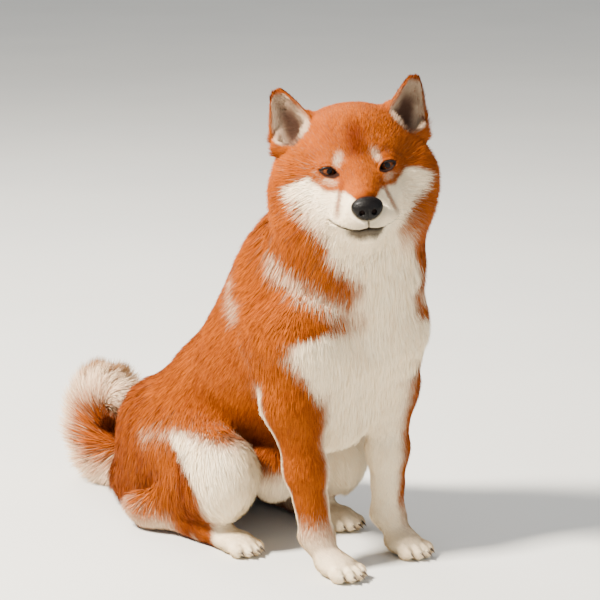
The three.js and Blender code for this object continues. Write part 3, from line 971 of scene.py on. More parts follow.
@dataclass
class Markings:
    """Where the coat is cream, rust or nearly black. Lengths are millimetres."""

    form: DogForm
    wander: float = 2.2
    wander_size: float = 9.0
    wander_seeds: Vec = (0.3, 1.9, 4.1)
    left: Span = (5, -5)
    belly: Patch = Patch((70, 46), (-60, -110), (94, 62), strength=0.85)
    thigh_inner: Patch = Patch((60, 40), (-10, -50))
    throat: Patch = Patch(y=(-60, -20), z=(-52, -80))
    throat_side: Span = (26, 42)
    arm_top: Span = (170, 200)
    tail_fringe: Span = (18, 62)
    tail_cream: float = 0.57
    tail_heart: Span = (42, 22)
    tail_rust: float = 0.12
    back: Patch = Patch(y=(-60, 60), strength=0.45)
    ridge: Patch = Patch((70, 24), (-200, -150), strength=0.5)
    outer: Patch = Patch((70, 86), z=(130, 100))

    def __post_init__(self) -> None:
        """Sets out the markings of each part."""
        self.ear = EarMarks(self.form.ear)
        self.head = HeadMarks(self.form)
        self.breast = BreastMarks()
        self.legs = LegMarks(self.form)

    def at(self, p: Array, local: Array, share: dict[Zone, Array]) -> Array:
        """The markings at each point.

        Args:
            p: points in millimetres.
            local: the same on one half of the head.
            share: how much each zone has of each point.

        Returns:
            Three columns: cream, rust and dark, each from 0 to 1.
        """
        waves = [ripple(p, self.wander_size, s) * self.wander for s in self.wander_seeds]
        p = p + np.stack(waves, 1).astype(np.float32)
        right = np.stack([-np.abs(p[:, 0]), p[:, 1], p[:, 2]], 1)
        _, _, far = self.form.tail.lie(p)
        inside, hollow, cup, deep = self.ear.cover(local)
        tear = self.head.tear(local)
        cream = self.cream(p, right, local, share)
        body = share[Zone.TRUNK] + share[Zone.HIND_LEFT] + share[Zone.HIND_RIGHT]
        back = (self.back.cover(p) + self.ridge.cover(p)) * (1 - cream)
        rust = body * np.maximum(self.legs.thigh_rust.cover(right) * self.outer.cover(p), back)
        rust += share[Zone.TAIL] * smooth(*self.tail_heart, far) * self.tail_rust
        face = np.maximum(self.head.streak.cover(local), self.head.tear_rust * tear)
        rust += share[Zone.HEAD] * face * smooth(*self.head.face, local[:, 1])
        ear = self.ear
        rust += share[Zone.EAR] * (
            (1 - inside) * ear.back_rust + ear.inside_rust * inside + ear.hollow_rust * hollow
        )
        rust += share[Zone.HEAD] * (ear.inside_rust * cup + ear.hollow_rust * deep)
        # blade and foot are the painted shade of the ear's inside, its hollow and the cup at its foot.
        blade = hollow * ear.hollow_shade + ear.inside_shade * inside
        foot = ear.hollow_shade * deep + ear.inside_shade * cup
        dark = share[Zone.HEAD] * self.head.dark(local)
        dark += share[Zone.EAR] * blade + share[Zone.HEAD] * foot
        return np.clip(np.stack([cream, rust, dark], 1), 0, 1).astype(np.float32)

    def cream(self, p: Array, right: Array, local: Array, share: dict[Zone, Array]) -> Array:
        """The white of the whole dog.

        Args:
            p: points in millimetres.
            right: the same, all moved to the dog's right.
            local: the same on one half of the head.
            share: how much each zone has of each point.

        Returns:
            How white each point is.
        """
        breast, legs = self.breast.white(p), self.legs
        trunk = np.maximum.reduce([
            breast, legs.shoulder.cover(right), legs.arm.cover(right), self.belly.cover(p),
        ])
        hind = np.maximum(legs.hind(right), self.thigh_inner.cover(p))
        left = smooth(*self.left, self.form.head.into(p)[:, 0])
        narrow = 1 - left * smooth(*self.throat_side, local[:, 0])
        throat = breast * self.throat.cover(local) * narrow
        head = np.maximum(self.head.cream(local, left), throat)
        tear = self.head.tear(local) * smooth(*self.head.face, local[:, 1])
        head *= 1 - self.head.tear_less_white * tear
        inside, _, cup, _ = self.ear.cover(local)
        _, _, far = self.form.tail.lie(p)
        arm = trunk * smooth(*self.arm_top, p[:, 2])
        return (
            (share[Zone.TRUNK] + share[Zone.NECK]) * trunk
            + share[Zone.FORE_LEFT] * np.maximum(legs.fore(p, "left"), arm)
            + share[Zone.FORE_RIGHT] * np.maximum(legs.fore(p, "right"), arm)
            + (share[Zone.HIND_LEFT] + share[Zone.HIND_RIGHT]) * hind
            + share[Zone.TAIL] * (smooth(*self.tail_fringe, far) * self.tail_cream)
            + share[Zone.HEAD] * (head * (1 - cup) + self.ear.cream * cup)
            + share[Zone.EAR] * (inside * self.ear.cream)
        )


@dataclass
class Coat:
    """Depth, length and lie of the coat over the whole dog."""

    form: DogForm
    reach: float = 8.0

    def shares(self, zones: dict[Zone, Array]) -> dict[Zone, Array]:
        """How much each zone has of each point, adding up to 1.

        Args:
            zones: the distance to each zone.

        Returns:
            One row of shares for each zone.
        """
        least = np.minimum.reduce(list(zones.values()))
        raw = {zone: np.exp((least - d) / self.reach) for zone, d in zones.items()}
        whole = sum(raw.values())
        return {zone: r / whole for zone, r in raw.items()}

    def kinds(self, p: Array, local: Array, share: dict[Zone, Array]) -> Array:
        """How much each kind of coat has of each point, one column for each kind.

        Args:
            p: points in millimetres.
            local: the same on one half of the head.
            share: how much each zone has of each point.

        Returns:
            Shares that add up to 1.
        """
        x, y, z = p.T
        a, hy, hz = local.T
        out = {kind: np.zeros(len(p), np.float32) for kind in KINDS}
        chest = smooth(-190, -235, y) * smooth(100, 130, z)
        pants = smooth(40, 80, y) * (1 - chest)
        for zone, base, part in ((Zone.TRUNK, Kind.TRUNK, 1.0), (Zone.NECK, Kind.NECK, 0.3)):
            out[Kind.CHEST] += share[zone] * chest * part
            out[Kind.PANTS] += share[zone] * pants
            out[base] += share[zone] * (1 - pants - chest * part)
        for zone in (Zone.FORE_LEFT, Zone.FORE_RIGHT):
            low, paw = smooth(205, 160, z), smooth(52, 32, z)
            out[Kind.TRUNK] += share[zone] * (1 - low)
            out[Kind.LEG] += share[zone] * low * (1 - paw)
            out[Kind.PAW] += share[zone] * paw
        for zone in (Zone.HIND_LEFT, Zone.HIND_RIGHT):
            paw = smooth(-96, -118, y) * smooth(48, 34, z)
            leg = smooth(40, 22, z) * (1 - paw)
            out[Kind.PAW] += share[zone] * paw
            out[Kind.LEG] += share[zone] * leg
            out[Kind.HAUNCH] += share[zone] * (1 - paw - leg)
        out[Kind.TAIL] += share[Zone.TAIL]
        face = smooth(-4, 14, hy) * smooth(58, 36, a) * smooth(34, 12, hz) * smooth(-88, -66, hz)
        face = np.maximum(face, smooth(36, 50, hy))
        crown = smooth(4, 22, hz) * (1 - face) * smooth(-60, -20, hy)
        cup = smooth(6, 2, self.form.ear.cup(local)) * (1 - face)
        crown *= 1 - cup
        out[Kind.EAR] += share[Zone.HEAD] * cup
        out[Kind.FACE] += share[Zone.HEAD] * face
        out[Kind.CROWN] += share[Zone.HEAD] * crown
        out[Kind.CHEEK] += share[Zone.HEAD] * (1 - face - crown - cup)
        out[Kind.EAR] += share[Zone.EAR]
        return np.stack([out[kind] for kind in KINDS], 1)

    def number(self, weights: Array, name: str) -> Array:
        """One of the coat's numbers, mixed from the kinds at each point."""
        return weights @ numbers([getattr(k.value, name) for k in KINDS])

    def lie(self, p: Array, normal: Array, share: dict[Zone, Array]) -> Array:
        """The way the hair lies, along the skin.

        Args:
            p: points in millimetres.
            normal: the skin's normals.
            share: how much each zone has of each point.

        Returns:
            Directions of length 1, square to the normals.
        """
        x, y, z = p.T
        one, nil = np.ones_like(x), np.zeros_like(x)
        front = smooth(-180, -240, y)
        low = smooth(200, 120, z)
        back = np.stack([0.12 * x / 80, (0.60 - 0.35 * low) * (1 - front), -0.78 - 0.2 * (low + front)], 1)
        down = np.stack([0.25 * x / 80, nil, -one], 1)
        chest = unit(back) * (1 - front)[:, None] + unit(down) * front[:, None]
        head_at = numbers(self.form.head.at)
        neck = unit(unit(p - head_at) * 0.7 + numbers((0, 0.22, -0.8)))
        paw = smooth(60, 30, z)[:, None]
        leg = unit(np.stack([nil, 0.06 * one, -one], 1)) * (1 - paw)
        leg = leg + paw * numbers((0, -0.93, -0.36))
        foot = (smooth(-95, -120, y) * smooth(50, 34, z))[:, None]
        thigh = np.stack([0.1 * np.sign(x), 0.75 * smooth(-90, 0, y) - 0.5, -0.85 * one], 1)
        thigh = unit(thigh) * (1 - foot) + foot * numbers((0, -0.97, -0.2))
        along, away, _ = self.form.tail.lie(p)
        tail = along * 0.8 + away * 0.62
        way = (
            share[Zone.TRUNK][:, None] * chest
            + share[Zone.NECK][:, None] * neck
            + (share[Zone.FORE_LEFT] + share[Zone.FORE_RIGHT])[:, None] * leg
            + (share[Zone.HIND_LEFT] + share[Zone.HIND_RIGHT])[:, None] * thigh
            + share[Zone.TAIL][:, None] * tail
            + share[Zone.HEAD][:, None] * self.head_lie(p)
            + share[Zone.EAR][:, None] * self.ear_lie(p)
        )
        way -= normal * (way * normal).sum(1, keepdims=True)
        return unit(way).astype(np.float32)

    def head_lie(self, p: Array) -> Array:
        """The lie on the head: back from the nose, round the eyes, and down behind the cheeks.

        Args:
            p: points in millimetres.

        Returns:
            Directions of length 1.
        """
        local = self.form.head.into(p)
        side = np.sign(local[:, 0])
        nose = numbers(self.form.nose.at) + (0, 0, 2)
        way = unit(local - nose)
        rear = smooth(0, -50, local[:, 1])
        way[:, 2] -= 0.9 * rear
        cheek = smooth(20, 60, np.abs(local[:, 0])) * smooth(10, -10, local[:, 2])
        way[:, 0] += side * 0.45 * cheek
        way[:, 2] -= 0.45 * cheek
        eye = numbers(self.form.eye.at)
        gap = np.stack([np.abs(local[:, 0]) - eye[0], 0 * side, local[:, 2] - eye[2]], 1)
        near = np.exp(-((np.linalg.norm(gap * (0.6, 1, 1), axis=1) / 9.0) ** 2))
        gap[:, 0] *= side
        way = way + unit(gap) * (1.5 * near * smooth(5, 20, local[:, 1]))[:, None]
        return self.form.head.way(unit(way).astype(np.float32))

    def ear_lie(self, p: Array) -> Array:
        """The lie on an ear: up towards its tip, and out towards its edges.

        Args:
            p: points in millimetres.

        Returns:
            Directions of length 1.
        """
        local = self.form.head.into(p)
        sign = np.sign(local[:, :1])
        local[:, 0] = np.abs(local[:, 0])
        side, _, rise, _ = self.form.ear.axes()
        u, w, _, half = self.form.ear.places(local)
        spread = np.where(w > 0, -0.9, 0.35) * u / half
        way = rise + side * spread[:, None]
        way[:, :1] *= sign
        return self.form.head.way(unit(way).astype(np.float32))


# Meshing
def slope_of(measure: Field, p: Array, step: float) -> tuple[Array, Array]:
    """The field's value and slope at each point.

    Args:
        measure: the field.
        p: points in millimetres.
        step: the length over which the slope is taken.

    Returns:
        The values, and the slopes.
    """
    d = measure(p)
    parts = []
    for axis in range(3):
        moved = p.copy()
        moved[:, axis] += step
        parts.append((measure(moved) - d) / step)
    return d, np.stack(parts, 1)


def settle(p: Array, measure: Field, reach: float, rounds: int = 2, step: float = 0.4) -> Array:
    """Moves points onto the surface, each by no more than reach.

    Args:
        p: points in millimetres.
        measure: the field.
        reach: how far a point may go.
        rounds: how many times to step.
        step: the length over which the slope is taken.

    Returns:
        The moved points.
    """
    start = p.copy()
    for _ in range(rounds):
        d, g = slope_of(measure, p, step)
        p = p - g * (d / np.maximum((g * g).sum(1), 0.15))[:, None]
        p = start + np.clip(p - start, -reach, reach)
    return p.astype(np.float32)


def in_lots(measure: Field, p: Array, lot: int = 300_000) -> Array:
    """Measures many points a lot at a time."""
    return np.concatenate([measure(p[i : i + lot]) for i in range(0, len(p), lot)])


@dataclass
class NetMesher:
    """Turns a field into a mesh of quads, one vertex for each grid cell that the surface crosses."""

    low: Vec
    high: Vec
    cell: float
    block: int = 4

    def grid_values(self, measure: Field) -> Array:
        """The field on the grid, exact near the surface and only its sign elsewhere.

        Args:
            measure: the field.

        Returns:
            Values at every corner of the grid.
        """
        low, cell, block = numbers(self.low), self.cell, self.block
        blocks = np.ceil((np.array(self.high) - low) / (cell * block)).astype(int)
        at = np.stack(np.meshgrid(*[np.arange(n) for n in blocks], indexing="ij"), -1)
        centre = low + (at.reshape(-1, 3) + 0.5) * (cell * block)
        coarse = in_lots(measure, centre.astype(np.float32)).reshape(blocks)
        near = np.abs(coarse) < cell * block * 1.25 + 2
        fine = coarse
        for axis in range(3):
            fine = np.repeat(fine, block, axis)
            near = np.repeat(near, block, axis)
        fine = np.pad(fine, ((0, 1),) * 3, mode="edge").astype(np.float32)
        near = np.pad(near, ((0, 1),) * 3)
        for axis in range(3):
            near = near | np.roll(near, 1, axis)
        spots = np.argwhere(near)
        fine[tuple(spots.T)] = in_lots(measure, (low + spots * cell).astype(np.float32))
        return fine

    def mesh(self, measure: Field) -> tuple[Array, Array]:
        """Vertices in millimetres, and quads.

        Args:
            measure: the field.

        Returns:
            The vertices, and four vertex numbers for each quad.
        """
        values = self.grid_values(measure)
        inside = values < 0
        corners = [(i, j, k) for i in (0, 1) for j in (0, 1) for k in (0, 1)]
        n = np.array(values.shape) - 1
        count = sum(
            inside[i : i + n[0], j : j + n[1], k : k + n[2]].astype(np.int8) for i, j, k in corners
        )
        cells = np.argwhere((count > 0) & (count < 8))
        number = np.full(tuple(n), -1, np.int64)
        number[tuple(cells.T)] = np.arange(len(cells))
        v = {c: values[tuple((cells + c).T)] for c in corners}
        total, hits = np.zeros((len(cells), 3), np.float32), np.zeros(len(cells), np.float32)
        for a in corners:
            for axis in range(3):
                if a[axis]:
                    continue
                b = tuple(c + (m == axis) for m, c in enumerate(a))
                cross = (v[a] < 0) != (v[b] < 0)
                t = np.where(cross, v[a] / np.where(cross, v[a] - v[b], 1), 0)
                place = numbers(a) * cross[:, None]
                place[:, axis] += t
                total += place
                hits += cross
        points = np.array(self.low) + self.cell * (cells + total / hits[:, None])
        return points.astype(np.float32), self.quads(inside, number)

    def quads(self, inside: Array, number: Array) -> Array:
        """One quad round each grid edge that the surface crosses.

        Args:
            inside: which corners are inside.
            number: the vertex of each cell, or -1.

        Returns:
            Four vertex numbers for each quad.
        """
        faces = []
        for axis in range(3):
            u, v = (axis + 1) % 3, (axis + 2) % 3
            here = np.take(inside, range(inside.shape[axis] - 1), axis)
            there = np.take(inside, range(1, inside.shape[axis]), axis)
            spots = np.argwhere(here != there)
            keep = (spots[:, u] > 0) & (spots[:, v] > 0)
            keep &= (spots[:, u] < number.shape[u]) & (spots[:, v] < number.shape[v])
            spots = spots[keep]
            flip = ~here[tuple(spots.T)]
            ring = []
            for du, dv in ((-1, -1), (0, -1), (0, 0), (-1, 0)):
                s = spots.copy()
                s[:, u] += du
                s[:, v] += dv
                ring.append(number[tuple(s.T)])
            quad = np.stack(ring, 1)
            quad[flip] = quad[flip][:, ::-1]
            faces.append(quad)
        quads = np.concatenate(faces)
        return quads[(quads >= 0).all(1)]


def mesh_of(name: str, points: Array, faces: Array) -> Mesh:
    """A Blender mesh from vertices in millimetres and faces that all have the same corners.

    Args:
        name: the mesh's name.
        points: one row for each vertex.
        faces: one row of vertex numbers for each face.

    Returns:
        The mesh.
    """
    mesh = bpy.data.meshes.new(name)
    mesh.vertices.add(len(points))
    mesh.vertices.foreach_set("co", (np.asarray(points, np.float32) * MM).ravel())
    corners = faces.shape[1]
    mesh.loops.add(faces.size)
    mesh.loops.foreach_set("vertex_index", faces.astype(np.int32).ravel())
    mesh.polygons.add(len(faces))
    mesh.polygons.foreach_set("loop_start", np.arange(0, faces.size, corners, dtype=np.int32))
    mesh.polygons.foreach_set("use_smooth", np.full(len(faces), True))
    mesh.update()
    mesh.validate()
    return mesh


def paint(mesh: Mesh, name: str, values: Array) -> None:
    """Stores up to four numbers for each vertex as a colour attribute.

    Args:
        mesh: the mesh.
        name: the attribute's name.
        values: one row for each vertex.
    """
    rows = np.ones((len(mesh.vertices), 4), np.float32)
    rows[:, : values.shape[1]] = values
    layer = mesh.attributes.new(name, "FLOAT_COLOR", "POINT")
    layer.data.foreach_set("color", rows.ravel())


def link(thing: Object) -> None:
    """Puts an object into the scene."""
    bpy.context.scene.collection.objects.link(thing)


def tube_quads(steps: int, around: int, closed: bool = False) -> Array:
    """The faces of a tube whose rings of vertices follow each other.

    Args:
        steps: how many rings there are.
        around: how many vertices a ring has.
        closed: whether the last ring joins the first.

    Returns:
        One row of four vertex numbers for each face.
    """
    i, j = np.meshgrid(np.arange(steps if closed else steps - 1), np.arange(around), indexing="ij")
    a, b = i * around + j, i * around + (j + 1) % around
    on = ((i + 1) % steps - i) * around
    return np.stack([a, b, b + on, a + on], -1).reshape(-1, 4)


def place(name: str, mesh: Mesh, material: Material, slot: str) -> Object:
    """Puts a finished mesh into the scene as a piece that rides on the dog.

    Args:
        name: the piece's name.
        mesh: its mesh.
        material: its material.
        slot: not used.

    Returns:
        The object.
    """
    piece = bpy.data.objects.new(name, mesh)
    link(piece)
    if not mesh.materials:
        mesh.materials.append(material)
    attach(piece, "root")
    LOG.info("%s: %d faces", name, len(mesh.polygons))
    return piece


# Finishes
def linear(r: int, g: int, b: int) -> Colour:
    """A colour in display steps from 0 to 255, made linear, with full cover."""
    steps = [v / 255 for v in (r, g, b)]
    return (*[v / 12.92 if v <= 0.04045 else ((v + 0.055) / 1.055) ** 2.4 for v in steps], 1.0)


class Graph:
    """Adds nodes to a tree and joins them."""

    def __init__(self, tree: NodeTree) -> None:
        """Starts from an empty tree."""
        self.tree = tree
        tree.nodes.clear()

    def node(self, kind: str, **values: object) -> Node:
        """Adds a node and sets its properties.

        Args:
            kind: the kind of node.
            **values: its properties.

        Returns:
            The node.
        """
        made = self.tree.nodes.new(kind)
        for name, value in values.items():
            setattr(made, name, value)
        return made

    def join(self, source: NodeSocket, target: NodeSocket) -> None:
        """Links two sockets."""
        self.tree.links.new(source, target)

    def made(self, kind: str, inputs: dict[int | str, object], **values: object) -> Node:
        """Adds a node, and links or sets its inputs.

        Args:
            kind: the kind of node.
            inputs: for each input, a socket, a number or a colour.
            **values: its properties.

        Returns:
            The node.
        """
        made = self.node(kind, **values)
        for name, value in inputs.items():
            if isinstance(value, NodeSocket):
                self.join(value, made.inputs[name])
            else:
                made.inputs[name].default_value = value
        return made

    def math(self, way: str, a: object, b: object = 0.0) -> NodeSocket:
        """A sum of two numbers, or another operation on them."""
        return self.made("ShaderNodeMath", {0: a, 1: b}, operation=way).outputs[0]

    def mix(self, share: object, a: object, b: object, way: str = "MIX") -> NodeSocket:
        """A mix of two colours."""
        inputs = {"Factor": share, 6: a, 7: b}
        return self.made("ShaderNodeMix", inputs, data_type="RGBA", blend_type=way).outputs[2]

    def span(self, x: object, low: float, high: float, to_low: float, to_high: float) -> NodeSocket:
        """Maps a number from one span to another, held at the ends."""
        inputs = dict(enumerate((x, low, high, to_low, to_high)))
        return self.made("ShaderNodeMapRange", inputs, clamp=True).outputs[0]

    def here(self) -> NodeSocket:
        """The place in the object's own space."""
        return self.node("ShaderNodeTexCoord").outputs["Object"]

    def noise(
        self, scale: float, detail: float = 2.0, rough: float = 0.5, where: object = None
    ) -> NodeSocket:
        """Noise, in the object's own space unless another is given."""
        inputs = {"Vector": where or self.here(), "Scale": scale, "Detail": detail, "Roughness": rough}
        return self.made("ShaderNodeTexNoise", inputs).outputs[0]

    def channels(self, colour: NodeSocket) -> list[NodeSocket]:
        """The three numbers of a colour."""
        return list(self.made("ShaderNodeSeparateColor", {0: colour}).outputs)

    def shader(self, inputs: dict[int | str, object]) -> Node:
        """Adds the surface's shader, joined to the material's output.

        Args:
            inputs: for each input, a socket, a number or a colour.

        Returns:
            The shader.
        """
        shader = self.made("ShaderNodeBsdfPrincipled", inputs)
        self.made("ShaderNodeOutputMaterial", {"Surface": shader.outputs[0]})
        return shader

    def relief(self, height: NodeSocket, strength: float, deep: float, invert: bool = False) -> NodeSocket:
        """The normals of a relief `deep` metres high; `invert` makes high places go in."""
        inputs = {"Height": height, "Strength": strength, "Distance": deep}
        return self.made("ShaderNodeBump", inputs, invert=invert).outputs[0]


def new_material(name: str) -> tuple[Material, Graph]:
    """Starts a material.

    Args:
        name: its name.

    Returns:
        The material, and the graph of its nodes.
    """
    material = bpy.data.materials.new(name)
    material.use_nodes = True
    return material, Graph(material.node_tree)


@dataclass(frozen=True)
class CoatTints:
    """The colours of the coat."""

    orange: Colour = linear(160, 78, 8)
    deep: Colour = linear(114, 44, 2)
    cream: Colour = linear(254, 238, 206)
    shade: Colour = linear(244, 210, 162)
    rust: Colour = linear(92, 31, 3)
    dark: Colour = linear(30, 19, 16)


def coat_colours(tints: CoatTints) -> NodeTree:
    """The node group that turns the markings into colours, for the skin and every tuft.

    Args:
        tints: the colours that it starts with.

    Returns:
        The group.
    """
    tree = bpy.data.node_groups.new("Coat colours", "ShaderNodeTree")
    face = tree.interface
    for name in ("Marks", "Strand"):
        face.new_socket(name, in_out="INPUT", socket_type="NodeSocketColor")
    for name, colour in vars(tints).items():
        socket = face.new_socket(name.title(), in_out="INPUT", socket_type="NodeSocketColor")
        socket.default_value = colour
    for name, kind in (("Color", "Color"), ("Roughness", "Float"), ("Height", "Float")):
        face.new_socket(name, in_out="OUTPUT", socket_type="NodeSocket" + kind)
    g = Graph(tree)
    given, out = g.node("NodeGroupInput"), g.node("NodeGroupOutput")
    cream, rust, dark = g.channels(given.outputs["Marks"])
    along, chance, tone = g.channels(given.outputs["Strand"])
    patch = g.noise(34.0, 3.0, 0.55)
    fleck = g.noise(230.0, 2.0, 0.6)
    spread = g.math("ADD", g.math("MULTIPLY", patch, 0.75), g.math("MULTIPLY", chance, 0.5))
    spread = g.math("ADD", spread, g.math("MULTIPLY", fleck, 0.2))
    # Towards each tuft's root the colour leans to the deep and shade tints: painted shade deep in the
    # coat.
    low = g.math("SUBTRACT", spread, g.math("MULTIPLY", along, 0.3))
    deep = g.span(low, 0.22, 0.9, 0.0, 1.0)
    orange = g.mix(deep, given.outputs["Orange"], given.outputs["Deep"])
    shade = g.span(low, 0.3, 1.2, 0.0, 0.85)
    pale = g.mix(shade, given.outputs["Cream"], given.outputs["Shade"])
    luck = g.math("MULTIPLY", g.math("SUBTRACT", chance, 0.5), 0.35)
    edge = g.span(g.math("ADD", cream, luck), 0.12, 0.88, 0.0, 1.0)
    colour = g.mix(edge, orange, pale)
    colour = g.mix(rust, colour, given.outputs["Rust"])
    colour = g.mix(dark, colour, given.outputs["Dark"])
    # Darker still towards the roots: painted shade deep in the coat.
    root = g.span(along, 0.0, 0.7, 0.72, 1.0)
    root_shade = g.node("ShaderNodeCombineColor")
    for socket in root_shade.inputs:
        g.join(root, socket)
    g.join(g.mix(1.0, colour, root_shade.outputs[0], "MULTIPLY"), out.inputs["Color"])
    g.join(g.span(spread, 0.2, 1.2, 0.58, 0.78), out.inputs["Roughness"])
    g.join(g.math("ADD", fleck, g.math("MULTIPLY", patch, 0.4)), out.inputs["Height"])
    return tree


@dataclass(frozen=True)
class CoatFinish:
    """The look of the coat or of the skin below it."""

    name: str
    bump: float = 0.0
    bump_deep: float = 0.0012
    specular: float = 0.05

    def make(self, colours: NodeTree) -> Material:
        """The material, with the shared colours.

        Args:
            colours: the shared node group.

        Returns:
            The material.
        """
        material, g = new_material(self.name)
        marks = g.node("ShaderNodeAttribute", attribute_name="marks").outputs["Color"]
        strand = g.node("ShaderNodeAttribute", attribute_name="strand").outputs["Color"]
        group = g.node("ShaderNodeGroup", node_tree=colours)
        g.join(marks, group.inputs["Marks"])
        g.join(strand, group.inputs["Strand"])
        shader = g.shader({
            "Base Color": group.outputs["Color"], "Roughness": group.outputs["Roughness"],
            "Specular IOR Level": self.specular,
        })
        if self.bump:
            normal = g.relief(group.outputs["Height"], self.bump, self.bump_deep)
            g.join(normal, shader.inputs["Normal"])
        return material


@dataclass(frozen=True)
class EyeFinish:
    """A wet brown eye. The stored gaze value is the angle from the pupil's middle over a half turn."""

    pupil: float = 0.086
    iris: float = 0.213
    brown: Colour = linear(118, 60, 26)
    rim: Colour = linear(30, 16, 10)
    white: Colour = linear(70, 50, 42)
    black: Colour = (0.004, 0.004, 0.005, 1.0)
    soft: float = 0.008
    specular: float = 0.05
    rough: float = 0.3
    wet: float = 0.12
    wet_rough: float = 0.03

    def make(self) -> Material:
        """The eye's material.

        Returns:
            The material.
        """
        material, g = new_material("Eye")
        gaze = g.channels(g.node("ShaderNodeAttribute", attribute_name="gaze").outputs["Color"])
        turn = g.made("ShaderNodeCombineXYZ", {0: gaze[1], 1: gaze[2]})
        rays = g.noise(9.0, 3.0, 0.6, turn.outputs[0])
        ring = g.span(gaze[0], self.pupil, self.iris, 0.0, 1.0)
        brown = g.mix(g.span(rays, 0.3, 0.7, 0.0, 1.0), self.rim, self.brown)
        brown = g.mix(g.span(ring, 0.55, 1.0, 0.0, 1.0), brown, self.rim)
        colour = g.mix(g.span(gaze[0], self.iris, self.iris + 0.02, 0.0, 1.0), brown, self.white)
        hole = g.span(gaze[0], self.pupil - self.soft, self.pupil + self.soft, 1.0, 0.0)
        g.shader({
            "Base Color": g.mix(hole, colour, self.black), "Roughness": self.rough,
            "Specular IOR Level": self.specular,
            "Coat Weight": self.wet, "Coat Roughness": self.wet_rough,
        })
        return material


@dataclass(frozen=True)
class HornFinish:
    """Bare dark skin or horn: the nose, the lid margins, the claws and the whiskers."""

    name: str
    light: Colour
    deep: Colour
    scale: float
    rough: float
    bump: float
    coat: float = 0.0
    specular: float = 0.13
    coat_rough: float = 0.2
    bump_deep: float = 0.0006

    def make(self) -> Material:
        """The material, with a fine pebbled grain.

        Returns:
            The material.
        """
        material, g = new_material(self.name)
        inputs = {"Vector": g.here(), "Scale": self.scale}
        grain = g.made("ShaderNodeTexVoronoi", inputs, feature="F1").outputs["Distance"]
        patch = g.noise(self.scale / 6, 3.0)
        colour = g.mix(g.span(patch, 0.3, 0.7, 0.0, 1.0), self.light, self.deep)
        # Deeper colour in the grooves between the grains: painted shade.
        colour = g.mix(g.span(grain, 0.3, 0.8, 0.0, 0.6), colour, self.deep)
        g.shader({
            "Base Color": colour, "Specular IOR Level": self.specular,
            "Roughness": g.span(patch, 0.2, 0.8, self.rough - 0.06, self.rough + 0.08),
            "Coat Weight": self.coat, "Coat Roughness": self.coat_rough,
            "Normal": g.relief(grain, self.bump, self.bump_deep, invert=True),
        })
        return material


# The pieces
FLESH = (
    *[f"{part}_{side}" for side in SIDES for part in (
        "thigh", "upper_arm", "forearm", "paw_fore", "shank", "hock", "paw_hind", "ear")],
    "neck", "chest", "belly", "rump", "tail_root", "tail_middle", "tail_tip",
    "head", "muzzle", "lower_jaw",
)


